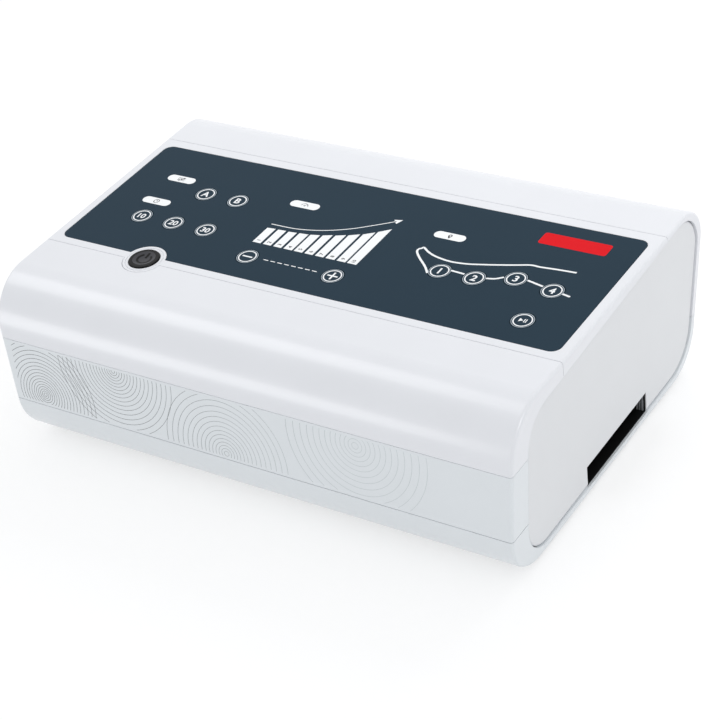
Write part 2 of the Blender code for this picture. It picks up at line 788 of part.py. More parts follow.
def build_panel_bezel(tools, finish):
    low = TOP - BEZEL_SKIRT
    keep = region("bezel_region", BEZEL_FRONT + SEAM / 2, BEZEL_REAR - SEAM / 2, low, TOP + OVERRUN)
    inside = CASE_WIDTH / 2 - RIM_THICKNESS
    across = CASE_DEPTH / 2
    hollow = box_tool("bezel_hollow", ((-inside, -across, FOOT_STAND), (inside, across, BEZEL_UNDERSIDE)))
    drafted(hollow.data)
    obj = cover("panel_bezel", tools, keep, finish, hollow=hollow)
    tab = rod_tool("power_tab", [BUTTON_PLACE], BEZEL_UNDERSIDE, TOP, TAB_RADIUS, TAB_STEPS)
    combine(obj, tab, "UNION")
    posts = board_post_places()
    post_top = POCKET_FLOOR - WALL / 2
    combine(obj, rod_tool("board_posts", posts, BOARD_TOP + CLEARANCE, post_top, BOARD_POST_RADIUS), "UNION")
    keys = key_places().values()
    well_floor = POCKET_FLOOR - KEY_FLANGE_THICKNESS - KEY_TRAVEL - CLEARANCE
    stem_hole = KEY_STEM_RADIUS + CLEARANCE
    screw_top = BOARD_TOP - BOARD_THICKNESS + BOARD_SCREW_LENGTH
    pilot = BOARD_SCREW_RADIUS + CLEARANCE
    cuts = (
        overlay_shape("overlay_pocket", CLEARANCE, POCKET_FLOOR, TOP + OVERRUN),
        rod_tool("key_wells", keys, well_floor, TOP + OVERRUN, KEY_WELL_RADIUS, KEY_STEPS),
        rod_tool("stem_holes", keys, BEZEL_UNDERSIDE - WALL, TOP + OVERRUN, stem_hole, STEM_STEPS),
        tab_cutter("button_bore", BUTTON_RADIUS + CLEARANCE),
        rod_tool("board_pilots", posts, BOARD_TOP - CLEARANCE, screw_top, pilot),
    )
    for tool in cuts:
        combine(obj, tool, "DIFFERENCE")
    return obj


def overlay_shape(name, grow, low, high, finish=None):
    """The overlay's outline between two heights, as a piece if it has a finish and otherwise as a cutter."""
    width, depth = OVERLAY_WIDTH + 2 * grow, OVERLAY_DEPTH + 2 * grow
    outline = rounded_rectangle(width, depth, OVERLAY_RADIUS + grow, (0, PANEL_OFFSET))
    mesh = level(extruded(name, [outline], (high - low) / 2), low, high)
    obj = part(name, mesh, finish) if finish else helper(name, mesh)
    combine(obj, tab_cutter(name + "_notch", TAB_RADIUS + CLEARANCE - grow), "DIFFERENCE")
    return obj


def build_overlay(finish):
    obj = overlay_shape("control_overlay", 0, TOP - OVERLAY_THICKNESS, TOP, finish)
    holes = key_places().values()
    tool = rod_tool("key_holes", holes, POCKET_FLOOR - WALL, TOP + OVERRUN, KEY_RADIUS + CLEARANCE, KEY_STEPS)
    combine(obj, tool, "DIFFERENCE")
    return obj


def build_keys(finish):
    """Round keys whose flange is held down by the overlay and whose stem reaches a switch."""
    cap = OVERLAY_THICKNESS + CLEARANCE
    foot = cap + KEY_FLANGE_THICKNESS
    flange = KEY_RADIUS + KEY_FLANGE
    profile = [
        (0, 0),
        (KEY_RADIUS, 0),
        (KEY_RADIUS, -cap),
        (flange, -cap),
        (flange, -foot),
        (KEY_STEM_RADIUS, -foot),
        (KEY_STEM_RADIUS, -foot - KEY_STEM),
        (0, -foot - KEY_STEM),
    ]
    for name, (x, y) in key_places().items():
        turned(name, profile, finish, (x, y, TOP), segments=KEY_STEPS)


def build_power_button(finish):
    rise, edge = BUTTON_RISE, BUTTON_EDGE
    dish = BUTTON_RADIUS - 2 * edge
    profile = [
        (0, rise - BUTTON_DISH),
        (dish / 2, rise - BUTTON_DISH * 3 / 4),
        (dish, rise),
        (BUTTON_RADIUS - edge / 2, rise),
        (BUTTON_RADIUS, rise - edge / 2),
        (BUTTON_RADIUS, -BUTTON_SKIRT),
        (BUTTON_STEM_RADIUS, -BUTTON_SKIRT),
        (BUTTON_STEM_RADIUS, switch_top() - CLEARANCE - TOP),
        (0, switch_top() - CLEARANCE - TOP),
    ]
    turned("power_button", profile, finish, (*BUTTON_PLACE, TOP), segments=TAB_STEPS)


def switch_top():
    """Height of the power switch's top, which the pressed button just clears."""
    return TOP - BUTTON_SKIRT - BUTTON_TRAVEL - CLEARANCE


def build_power_switch(finish):
    """A latching switch on the board, with a bore for the button's stem."""
    half = SWITCH_SIDE / 2
    low = BOARD_TOP + CLEARANCE
    box = about(*BUTTON_PLACE, half, half, low, switch_top())
    obj = part("power_switch", box_mesh("power_switch", [box]), finish)
    bore = rod_tool("switch_bore", [BUTTON_PLACE], low + SWITCH_BASE, TOP, BUTTON_STEM_RADIUS + CLEARANCE)
    combine(obj, bore, "DIFFERENCE")


def build_control_board(finish, screw_finish):
    half_x = OVERLAY_WIDTH / 2 - BOARD_MARGIN
    rear = OVERLAY_REAR - BOARD_MARGIN
    front = OVERLAY_FRONT - BOARD_FRONT_TONGUE
    low = BOARD_TOP - BOARD_THICKNESS
    mesh = box_mesh("control_board", [((-half_x, front, low), (half_x, rear, BOARD_TOP))])
    obj = part("control_board", mesh, finish)
    stem_foot = TOP - OVERLAY_THICKNESS - CLEARANCE - KEY_FLANGE_THICKNESS - KEY_STEM
    tact_top = stem_foot - KEY_TRAVEL - CLEARANCE
    half = TACT_SIDE / 2
    middle = BOARD_TOP - BOARD_THICKNESS / 2
    tacts = [about(x, y, half, half, middle, tact_top) for x, y in key_places().values()]
    combine(obj, box_tool("tact_switches", *tacts), "UNION")
    posts = board_post_places()
    hole = BOARD_SCREW_RADIUS + CLEARANCE
    combine(obj, rod_tool("board_holes", posts, low - OVERRUN, BOARD_TOP + OVERRUN, hole), "DIFFERENCE")
    head = BOARD_SCREW_HEAD
    profile = [
        (0, BOARD_SCREW_LENGTH),
        (BOARD_SCREW_RADIUS, BOARD_SCREW_LENGTH),
        (BOARD_SCREW_RADIUS, 0),
        (head, 0),
        (head, -BOARD_THICKNESS),
        (0, -BOARD_THICKNESS),
    ]
    for number, (x, y) in enumerate(posts, start=1):
        place = (x, y, low - CLEARANCE)
        turned(f"board_screw_{number}", profile, screw_finish, place, segments=SMALL_STEPS)


def build_side_panels(finish):
    """The two end panels; the right one has the slot of the hose socket."""
    half = SIDE_PANEL_THICKNESS / 2
    for name, direction in (("side_panel_left", -1), ("side_panel_right", 1)):
        middle = direction * (CASE_WIDTH / 2 - SIDE_PANEL_RECESS - half)
        outline = opening_outline(CLEARANCE + SIDE_PANEL_EDGE)
        mesh = along_x(extruded(name, [outline], half, edge=SIDE_PANEL_EDGE), middle)
        obj = part(name, drafted(mesh), finish)
        if direction > 0:
            inner = CASE_WIDTH / 2 - RIM_THICKNESS - OVERRUN
            low = (inner, SLOT_CENTRE - SLOT_LENGTH / 2, FOOT_STAND)
            high = (CASE_WIDTH / 2 + OVERRUN, SLOT_CENTRE + SLOT_LENGTH / 2, slot_top())
            combine(obj, box_tool("slot_cutter", (low, high)), "DIFFERENCE")


def build_hose_socket(finish):
    """A deep pocket with four air ports at its back, and ribs that key the plug at its rear end."""
    low, high = socket_box()
    obj = part("hose_socket", box_mesh("hose_socket", [(low, high)]), finish)
    sides, height = port_places()
    places = [(y, height) for y in sides]
    back, mouth = low[0], high[0]
    pocket_back = mouth - SOCKET_POCKET
    front, rear = SLOT_CENTRE - SLOT_LENGTH / 2, SLOT_CENTRE + SLOT_LENGTH / 2
    pocket = ((pocket_back, front, FOOT_STAND + RIM_BOTTOM), (mouth + OVERRUN, rear, slot_top()))
    ribs = []
    for k in range(KEYING_RIB_COUNT):
        x = mouth - (2 * k + 1) * KEYING_RIB
        rib_low = (x - KEYING_RIB, rear - KEYING_RIB, low[2] + SOCKET_WALL / 2)
        rib_high = (x, rear + SOCKET_WALL / 2, slot_top() + SOCKET_WALL / 2)
        ribs.append((rib_low, rib_high))
    spigots = bar_tool("spigots", places, back - SPIGOT_LENGTH, back + SOCKET_WALL, SPIGOT_RADIUS)
    ports = bar_tool("ports", places, back - OVERRUN, pocket_back + SOCKET_WALL, PORT_RADIUS)
    combine(obj, spigots, "UNION")
    combine(obj, box_tool("socket_pocket", pocket), "DIFFERENCE")
    combine(obj, ports, "DIFFERENCE")
    combine(obj, box_tool("keying_ribs", *ribs), "UNION")
    return obj


def inlet_place():
    """Where the mains inlet's middle lies on the rear face, and how it is turned."""
    rear_angle, reach = case_sides()[0]
    height = LOW_SEAM + INLET_SEAM_GAP + INLET_FLANGE + INLET_HEIGHT / 2
    y = (reach - math.sin(rear_angle) * height) / math.cos(rear_angle)
    return (CASE_WIDTH / 2 - INLET_FROM_SIDE, y, height), (-REAR_LEAN, 0, 0)


def build_mains_inlet(finish):
    """A three-blade appliance inlet, built about the rear face and then leaned with it."""
    half_x, half_z = INLET_WIDTH / 2, INLET_HEIGHT / 2
    rim_x, rim_z = half_x + INLET_FLANGE, half_z + INLET_FLANGE
    inner_x, inner_z = half_x - INLET_WALL, half_z - INLET_WALL
    face = CLEARANCE + INLET_FLANGE_THICKNESS
    front = face - INLET_FLANGE_THICKNESS / 2
    floor = face - INLET_POCKET
    mesh = box_mesh("mains_inlet", [((-half_x, face - INLET_BODY, -half_z), (half_x, front, half_z))])
    obj = part("mains_inlet", mesh, finish)
    blades = []
    for x, z in ((-BLADE_SPACING, -BLADE_DROP), (BLADE_SPACING, -BLADE_DROP), (0, BLADE_DROP)):
        low = (x - BLADE_THICKNESS / 2, floor - INLET_WALL, z - BLADE_WIDTH / 2)
        high = (x + BLADE_THICKNESS / 2, floor + BLADE_LENGTH, z + BLADE_WIDTH / 2)
        blades.append((low, high))
    flange = box_tool("inlet_flange", ((-rim_x, CLEARANCE, -rim_z), (rim_x, face, rim_z)))
    pocket = box_tool("inlet_pocket", ((-inner_x, floor, -inner_z), (inner_x, face + OVERRUN, inner_z)))
    steps = ((flange, "UNION"), (pocket, "DIFFERENCE"), (box_tool("inlet_blades", *blades), "UNION"))
    for tool, operation in steps:
        tool.location, tool.rotation_euler = inlet_place()
        combine(obj, tool, operation)
    obj.location, obj.rotation_euler = inlet_place()


def build_feet(finish):
    height = FOOT_STAND + FOOT_RECESS - CLEARANCE
    edge = FOOT_STAND / 2
    profile = [(0, height), (FOOT_RADIUS, height), (FOOT_RADIUS, edge), (FOOT_RADIUS - edge, 0), (0, 0)]
    for name, (x, y) in foot_places().items():
        turned(name, profile, finish, (x, y, 0))


def build_case_screws(finish):
    """Screws that go up through the base into the covers' bosses."""
    seat = FOOT_STAND + SCREW_SEAT - CLEARANCE
    tip = LOW_SEAM + SCREW_BITE - seat
    head = SCREW_HEAD_RADIUS
    profile = [
        (0, tip),
        (SCREW_RADIUS / 2, tip),
        (SCREW_RADIUS, tip - SCREW_RADIUS),
        (SCREW_RADIUS, 0),
        (head, 0),
        (head, -SCREW_HEAD_HEIGHT / 2),
        (head / 2, -SCREW_HEAD_HEIGHT),
        (0, -SCREW_HEAD_HEIGHT),
    ]
    corners = ("front_left", "front_right", "rear_left", "rear_right")
    for corner, (x, y) in zip(corners, boss_places()):
        turned(f"case_screw_{corner}", profile, finish, (x, y, seat), segments=SMALL_STEPS)


def compressor_edges():
    """X of the left and right ends of the compressor's plate."""
    return [CASE_WIDTH * (share - 1 / 2) for share in COMPRESSOR_END_SHARES]


def plate_underside():
    """Height of the compressor plate's underside, above its rubber mounts."""
    return FLOOR + MOUNT_HEIGHT


def compressor_axis():
    """Height of the piston's axis."""
    return plate_underside() + BASE_THICKNESS + CLEARANCE + CORE_SIDE / 2


def mount_places():
    left, right = compressor_edges()
    half = BASE_WIDTH / 2 - MOUNT_INSET
    ends = (left + MOUNT_INSET, right - MOUNT_INSET)
    return [(x, COMPRESSOR_AXIS_Y + side_y * half) for x in ends for side_y in (-1, 1)]


def peg_top():
    return plate_underside() + BASE_THICKNESS


def cylinder_ends():
    """X of the cylinder's open end and of its head end."""
    head_end = compressor_edges()[1] - HEAD_THICKNESS - CLEARANCE
    return head_end - CYLINDER_LENGTH, head_end


def build_compressor_base(finish):
    """The plate on its rubber mounts, with a saddle that holds the cylinder."""
    low = plate_underside()
    left, right = compressor_edges()
    plate = rounded_rectangle(right - left, BASE_WIDTH, MOUNT_INSET, ((left + right) / 2, COMPRESSOR_AXIS_Y))
    mesh = level(extruded("compressor_base", [plate], BASE_THICKNESS / 2), low, low + BASE_THICKNESS)
    obj = part("compressor_base", mesh, finish)
    outer = PISTON_RADIUS + RUNNING_CLEARANCE + CYLINDER_WALL
    saddle_low, saddle_high = low + BASE_THICKNESS / 2, compressor_axis() - outer / 2
    middle = sum(cylinder_ends()) / 2
    saddle = about(middle, COMPRESSOR_AXIS_Y, SADDLE_THICKNESS / 2, outer, saddle_low, saddle_high)
    combine(obj, box_tool("saddle", saddle), "UNION")
    axis = [(COMPRESSOR_AXIS_Y, compressor_axis())]
    combine(obj, bar_tool("saddle_bore", axis, left, right, outer + CLEARANCE, ROUND_STEPS), "DIFFERENCE")
    waist = MOUNT_WAIST + CLEARANCE
    holes = rod_tool("mount_holes", mount_places(), low - OVERRUN, low + BASE_THICKNESS + OVERRUN, waist)
    combine(obj, holes, "DIFFERENCE")


def build_compressor_mounts(finish):
    low = FLOOR + CLEARANCE
    under = plate_underside() - CLEARANCE
    over = plate_underside() + BASE_THICKNESS + CLEARANCE
    top = over + MOUNT_LIP
    bore = PEG_RADIUS + CLEARANCE
    profile = [
        (MOUNT_RADIUS, top),
        (MOUNT_RADIUS, over),
        (MOUNT_WAIST, over),
        (MOUNT_WAIST, under),
        (MOUNT_RADIUS, under),
        (MOUNT_RADIUS, low),
        (bore, low),
        (bore, top),
    ]
    for number, (x, y) in enumerate(mount_places(), start=1):
        turned(f"compressor_mount_{number}", profile, finish, (x, y, 0), ring=True, segments=SMALL_STEPS)


def build_compressor_core(finish, coil_finish):
    """A laminated frame with a window for the coil and a bore for the armature."""
    left = compressor_edges()[0] + CORE_FROM_END
    right = left + CORE_LENGTH
    middle = (left + right) / 2
    axis = compressor_axis()
    half = CORE_SIDE / 2
    frame = about(middle, COMPRESSOR_AXIS_Y, CORE_LENGTH / 2, CORE_STACK / 2, axis - half, axis + half)
    obj = part("compressor_core", box_mesh("compressor_core", [frame]), finish)
    inside = half - CORE_YOKE
    reach = CORE_LENGTH / 2 - CORE_PLATE
    window = about(middle, COMPRESSOR_AXIS_Y, reach, CORE_STACK, axis - inside, axis + inside)
    combine(obj, box_tool("core_window", window), "DIFFERENCE")
    bore = ARMATURE_RADIUS + RUNNING_CLEARANCE
    tunnel = [(COMPRESSOR_AXIS_Y, axis)]
    tool = bar_tool("core_bore", tunnel, left - OVERRUN, right + OVERRUN, bore, ROUND_STEPS)
    combine(obj, tool, "DIFFERENCE")
    outer = inside - CLEARANCE
    side_reach = reach - CLEARANCE
    profile = [(outer, side_reach), (outer, -side_reach), (bore, -side_reach), (bore, side_reach)]
    place = (middle, COMPRESSOR_AXIS_Y, axis)
    turned("compressor_coil", profile, coil_finish, place, ring=True, turn=(0, math.pi / 2, 0))


def build_compressor_cylinder(finish, head_finish):
    open_end, head_end = cylinder_ends()
    axis = compressor_axis()
    bore = PISTON_RADIUS + RUNNING_CLEARANCE
    outer = bore + CYLINDER_WALL
    turn = (0, math.pi / 2, 0)
    reach = CYLINDER_LENGTH / 2
    profile = [(outer, reach), (outer, -reach), (bore, -reach), (bore, reach)]
    middle = ((open_end + head_end) / 2, COMPRESSOR_AXIS_Y, axis)
    turned("compressor_cylinder", profile, finish, middle, ring=True, turn=turn)
    tip = HEAD_THICKNESS + SPIGOT_LENGTH
    head = [
        (0, tip),
        (SPIGOT_RADIUS, tip),
        (SPIGOT_RADIUS, HEAD_THICKNESS),
        (HEAD_RADIUS, HEAD_THICKNESS),
        (HEAD_RADIUS, 0),
        (0, 0),
    ]
    turned("compressor_head", head, head_finish, (head_end + CLEARANCE, COMPRESSOR_AXIS_Y, axis), turn=turn)


def build_compressor_piston(finish):
    """The moving armature, rod and piston, turned in one piece about the piston's axis."""
    open_end, head_end = cylinder_ends()
    middle = compressor_edges()[0] + CORE_FROM_END + CORE_LENGTH / 2
    crown = (open_end + head_end) / 2 + PISTON_LENGTH / 2 - middle
    shoulder = ARMATURE_LENGTH / 2
    profile = [
        (0, crown),
        (PISTON_RADIUS, crown),
        (PISTON_RADIUS, crown - PISTON_LENGTH),
        (ROD_RADIUS, crown - PISTON_LENGTH),
        (ROD_RADIUS, shoulder),
        (ARMATURE_RADIUS, shoulder),
        (ARMATURE_RADIUS, -shoulder),
        (0, -shoulder),
    ]
    place = (middle, COMPRESSOR_AXIS_Y, compressor_axis())
    turned("compressor_piston", profile, finish, place, turn=(0, math.pi / 2, 0))


def distributor_edges():
    """X of the distributor's left and right faces."""
    right = socket_box()[0][0] - DISTRIBUTOR_FROM_SOCKET
    return right - DISTRIBUTOR_WIDTH, right


def rotor_axis():
    left, right = distributor_edges()
    return (left + right) / 2, SLOT_CENTRE


def rotor_underside():
    return FLOOR + DISTRIBUTOR_HEIGHT + 2 * CLEARANCE


def pinion_axis():
    x, y = rotor_axis()
    return x - GEAR_MODULE * (ROTOR_TEETH + PINION_TEETH) / 2, y


def gear_outline(teeth, offset):
    """Outline of a spur gear; offset turns it by a share of one tooth."""
    pitch_radius = GEAR_MODULE * teeth / 2
    tip = pitch_radius + GEAR_MODULE * TOOTH_ADDENDUM_SHARE
    root = pitch_radius - GEAR_MODULE * TOOTH_DEDENDUM_SHARE
    step = math.tau / teeth
    points = []
    for tooth in range(teeth):
        for radius, share in (
            (root, -TOOTH_ROOT_SHARE),
            (tip, -TOOTH_TIP_SHARE),
            (tip, TOOTH_TIP_SHARE),
            (root, TOOTH_ROOT_SHARE),
        ):
            angle = (tooth + offset + share) * step
            points.append((radius * math.cos(angle), radius * math.sin(angle)))
    return points


def build_distributor(finish, rotor_finish, motor_finish, pinion_finish):
    """The valve block that the rotor turns on, the rotor's gear, and the geared motor beside it."""
    left, right = distributor_edges()
    x, y = rotor_axis()
    low = FLOOR + CLEARANCE
    top = low + DISTRIBUTOR_HEIGHT
    block = about(x, y, (right - left) / 2, DISTRIBUTOR_DEPTH / 2, low, top)
    obj = part("distributor_base", box_mesh("distributor_base", [block]), finish)
    combine(obj, rod_tool("rotor_pin", [(x, y)], low + SOCKET_WALL, top + PIN_RISE, PIN_RADIUS), "UNION")
    sides, height = port_places()
    outlets = [(place, height) for place in sides]
    ends = right - SPIGOT_LENGTH, right + SPIGOT_LENGTH
    combine(obj, bar_tool("outlet_nipples", outlets, *ends, SPIGOT_RADIUS), "UNION")
    foot = supply_nipple()[0]
    facing = Matrix.Rotation(math.pi / 2, 4, "X")
    nipple = [((foot[0], foot[1] + SPIGOT_LENGTH, foot[2]), SPIGOT_RADIUS, 2 * SPIGOT_LENGTH)]
    mesh = cylinder_mesh("supply_nipple", nipple, SMALL_STEPS, facing)
    combine(obj, helper("supply_nipple", mesh), "UNION")
    build_rotor(rotor_finish)

    motor_x, motor_y = pinion_axis()
    shaft_top = MOTOR_HEIGHT + SHAFT_RISE
    profile = [
        (0, shaft_top),
        (SHAFT_RADIUS, shaft_top),
        (SHAFT_RADIUS, MOTOR_HEIGHT),
        (MOTOR_RADIUS, MOTOR_HEIGHT),
        (MOTOR_RADIUS, 0),
        (0, 0),
    ]
    turned("distributor_motor", profile, motor_finish, (motor_x, motor_y, low))
    outlines = [gear_outline(PINION_TEETH, 1 / 2), circle((0, 0), SHAFT_RADIUS + CLEARANCE, SMALL_STEPS)]
    mesh = level(extruded("distributor_pinion", outlines, GEAR_THICKNESS / 2), 0, GEAR_THICKNESS)
    pinion = part("distributor_pinion", mesh, pinion_finish)
    pinion.location = (motor_x, motor_y, rotor_underside())


def build_rotor(finish):
    """The rotor, whose rim is a gear and whose hub runs on the block's pin."""
    outline = gear_outline(ROTOR_TEETH, 0)
    mesh = level(extruded("distributor_rotor", [outline], GEAR_THICKNESS / 2), 0, GEAR_THICKNESS)
    rotor = part("distributor_rotor", mesh, finish)
    centre = [(0, 0)]
    hub_top = GEAR_THICKNESS + ROTOR_HUB_HEIGHT
    hub = rod_tool("rotor_hub", centre, GEAR_THICKNESS / 2, hub_top, ROTOR_HUB_RADIUS, ROUND_STEPS)
    bore = rod_tool("rotor_bore", centre, -OVERRUN, hub_top + OVERRUN, PIN_RADIUS + CLEARANCE)
    for obj in (rotor, hub, bore):
        obj.location = (*rotor_axis(), rotor_underside())
    combine(rotor, hub, "UNION")
    combine(rotor, bore, "DIFFERENCE")


def supply_nipple():
    """Foot and tip of the distributor's inlet nipple, which faces the front."""
    x, y = rotor_axis()
    front = y - DISTRIBUTOR_DEPTH / 2
    height = port_places()[1]
    foot = (x - INLET_NIPPLE_SETBACK, front, height)
    return foot, (foot[0], front - SPIGOT_LENGTH, height)


def build_hoses(finish):
    sides, height = port_places()
    _, right = distributor_edges()
    start = right + SPIGOT_LENGTH + CLEARANCE
    end = socket_box()[0][0] - SPIGOT_LENGTH - CLEARANCE
    third = (end - start) / 3
    for number, y in enumerate(sides, start=1):
        route = ((start, y, height), (start + third, y, height), (end - third, y, height), (end, y, height))
        tube(f"air_hose_{number}", route, HOSE_RADIUS, finish)
    _, head_end = cylinder_ends()
    out = head_end + 2 * CLEARANCE + HEAD_THICKNESS + SPIGOT_LENGTH
    _, tip = supply_nipple()
    reach = tip[0] - out
    route = (
        (out, COMPRESSOR_AXIS_Y, compressor_axis()),
        (out + reach * SUPPLY_LEAD_SHARE, COMPRESSOR_AXIS_Y, compressor_axis()),
        (tip[0], tip[1] - SUPPLY_SWING, tip[2]),
        (tip[0], tip[1] - CLEARANCE, tip[2]),
    )
    tube("air_supply_hose", route, HOSE_RADIUS, finish)


def transformer_centre():
    x = -CASE_WIDTH / 2 + TRANSFORMER_FROM_END + LAMINATION_WIDTH / 2
    return x, CASE_DEPTH / 2 - TRANSFORMER_FROM_REAR


def build_transformer(finish, coil_finish):
    """A laminated three-limb core, and the coil that its middle limb passes through."""
    x, y = transformer_centre()
    low = FLOOR + CLEARANCE
    high = low + LAMINATION_HEIGHT
    half_x, half_y = LAMINATION_WIDTH / 2, LAMINATION_STACK / 2
    core = about(x, y, half_x, half_y, low, high)
    obj = part("transformer_core", box_mesh("transformer_core", [core]), finish)
    window_low, window_high = low + LIMB, high - LIMB
    window_half = (half_x - 2 * LIMB) / 2
    windows = []
    for direction in (-1, 1):
        middle = x + direction * (LIMB + window_half)
        windows.append(about(middle, y, window_half, LAMINATION_STACK, window_low, window_high))
    combine(obj, box_tool("core_windows", *windows), "DIFFERENCE")
    coil_x = half_x - LIMB - CLEARANCE
    coil_y = half_y + COIL_MARGIN
    winding = about(x, y, coil_x, coil_y, window_low + CLEARANCE, window_high - CLEARANCE)
    coil = part("transformer_coil", box_mesh("transformer_coil", [winding]), coil_finish)
    limb = about(x, y, LIMB + CLEARANCE, half_y + CLEARANCE, low, high)
    combine(coil, box_tool("limb_hole", limb), "DIFFERENCE")


def power_board_edges():
    left = transformer_centre()[0] + LAMINATION_WIDTH / 2 + POWER_BOARD_GAP
    return left, left + POWER_BOARD_LENGTH


def power_post_places():
    """Centres of the posts under the power board."""
    left, right = power_board_edges()
    y = transformer_centre()[1]
    half = POWER_BOARD_WIDTH / 2 - POWER_POST_INSET
    ends = (left + POWER_POST_INSET, right - POWER_POST_INSET)
    return [(x, y + direction * half) for x in ends for direction in (-1, 1)]


def build_power_board(finish):
    """A board with two capacitors and a finned heat sink."""
    left, right = power_board_edges()
    y = transformer_centre()[1]
    low = FLOOR + POWER_BOARD_RISE + CLEARANCE
    middle = (left + right) / 2
    board = about(middle, y, POWER_BOARD_LENGTH / 2, POWER_BOARD_WIDTH / 2, low, low + BOARD_THICKNESS)
    obj = part("power_board", box_mesh("power_board", [board]), finish)
    seat = low + BOARD_THICKNESS / 2
    spots = [(left + POWER_BOARD_LENGTH * share, y) for share in CAPACITOR_SHARES]
    capacitors = rod_tool("capacitors", spots, seat, seat + CAPACITOR_HEIGHT, CAPACITOR_RADIUS, ROUND_STEPS)
    combine(obj, capacitors, "UNION")
    sink_x = left + POWER_BOARD_LENGTH * HEAT_SINK_SHARE
    sink_top = seat + HEAT_SINK_HEIGHT
    fin = about(sink_x, y, HEAT_SINK_LENGTH / 2, HEAT_SINK_THICKNESS / 2, seat, sink_top)
    combine(obj, box_tool("heat_sink", fin), "UNION")


def main():
    clear_scene()
    white = material("white_gloss_plastic", (0.86, 0.87, 0.88), 0.25)
    cool_white = material("cool_white_gloss_plastic", (0.76, 0.79, 0.8), 0.25)
    light_grey = material("light_grey_plastic", (0.74, 0.75, 0.76), 0.4)
    slate = material("slate_overlay", (0.028, 0.047, 0.066), 0.35)
    black = material("black_gloss_plastic", (0.01, 0.01, 0.011), 0.2)
    dark = material("black_socket_plastic", (0.008, 0.008, 0.009), 0.5)
    rubber = material("grey_rubber", (0.12, 0.12, 0.13), 0.8)
    green = material("circuit_board", (0.02, 0.14, 0.06), 0.5)
    steel = material("zinc_plated_steel", (0.55, 0.55, 0.56), 0.35, 1.0)
    laminated = material("laminated_iron", (0.12, 0.12, 0.13), 0.55, 0.8)
    copper = material("enamelled_copper", (0.48, 0.18, 0.07), 0.4, 1.0)
    cast = material("cast_aluminium", (0.56, 0.57, 0.58), 0.45, 1.0)
    moulded = material("moulded_grey_plastic", (0.3, 0.31, 0.32), 0.5)
    hose = material("clear_grey_hose", (0.4, 0.41, 0.42), 0.45)

    tools = case_tools()
    build_bottom_case(tools, cool_white)
    build_front_band(tools, cool_white)
    build_shoulder_cover(tools, white)
    build_panel_bezel(tools, white)
    build_rear_cover(tools, white)
    build_side_panels(light_grey)
    build_overlay(slate)
    build_keys(slate)
    build_power_button(black)
    build_power_switch(dark)
    build_control_board(green, steel)
    build_hose_socket(dark)
    build_mains_inlet(dark)
    build_feet(rubber)
    build_case_screws(steel)
    build_compressor_base(cast)
    build_compressor_mounts(rubber)
    build_compressor_core(laminated, copper)
    build_compressor_cylinder(cast, moulded)
    build_compressor_piston(steel)
    build_distributor(moulded, white, steel, light_grey)
    build_hoses(hose)
    build_transformer(laminated, copper)
    build_power_board(green)


main()
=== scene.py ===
"""Compression therapy pump: its visible pieces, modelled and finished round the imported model.

X runs to the right, Y to the rear and Z up, in metres, with the origin on the table.
"""

import json
import logging
import math
from dataclasses import dataclass
from enum import Enum
from typing import Any, Iterable, Sequence

import bmesh
import bpy
from mathutils import Matrix, Vector


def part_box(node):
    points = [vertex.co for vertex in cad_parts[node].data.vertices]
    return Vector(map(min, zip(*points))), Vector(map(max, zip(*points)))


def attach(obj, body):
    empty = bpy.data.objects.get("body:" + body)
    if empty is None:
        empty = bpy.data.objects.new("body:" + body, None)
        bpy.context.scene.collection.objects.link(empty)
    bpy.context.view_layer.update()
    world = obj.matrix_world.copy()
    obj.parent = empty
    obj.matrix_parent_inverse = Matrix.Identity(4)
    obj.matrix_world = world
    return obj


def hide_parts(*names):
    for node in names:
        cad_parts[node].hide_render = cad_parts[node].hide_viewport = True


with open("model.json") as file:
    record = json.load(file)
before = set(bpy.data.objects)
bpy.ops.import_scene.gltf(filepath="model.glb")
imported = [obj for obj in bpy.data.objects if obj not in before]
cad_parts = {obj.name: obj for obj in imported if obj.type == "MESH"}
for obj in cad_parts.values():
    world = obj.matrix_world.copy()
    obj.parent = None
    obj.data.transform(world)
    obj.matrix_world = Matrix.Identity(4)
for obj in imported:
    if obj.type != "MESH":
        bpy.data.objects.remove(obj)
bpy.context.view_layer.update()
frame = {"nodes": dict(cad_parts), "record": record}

LOG = logging.getLogger("pump")
MERGE = 1e-6
FINE_STEPS = 96
SMOOTH_ANGLE = math.radians(35)
MILLIMETRE = 0.001
INK = 0.00004
INK_LIFT = 0.00001


def linear(colour: str) -> tuple[float, float, float]:
    """Turn a screen colour into the linear light that Blender works in.

    Args:
        colour: Six hexadecimal digits after a hash sign.

    Returns:
        Red, green and blue from 0 to 1.
    """
    parts = [int(colour[k : k + 2], 16) / 255 for k in (1, 3, 5)]
    return tuple(p / 12.92 if p <= 0.04045 else ((p + 0.055) / 1.055) ** 2.4 for p in parts)


def middle(node: str) -> Vector:
    """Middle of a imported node's box."""
    low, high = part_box(node)
    return (Vector(low) + Vector(high)) / 2


# Shaders


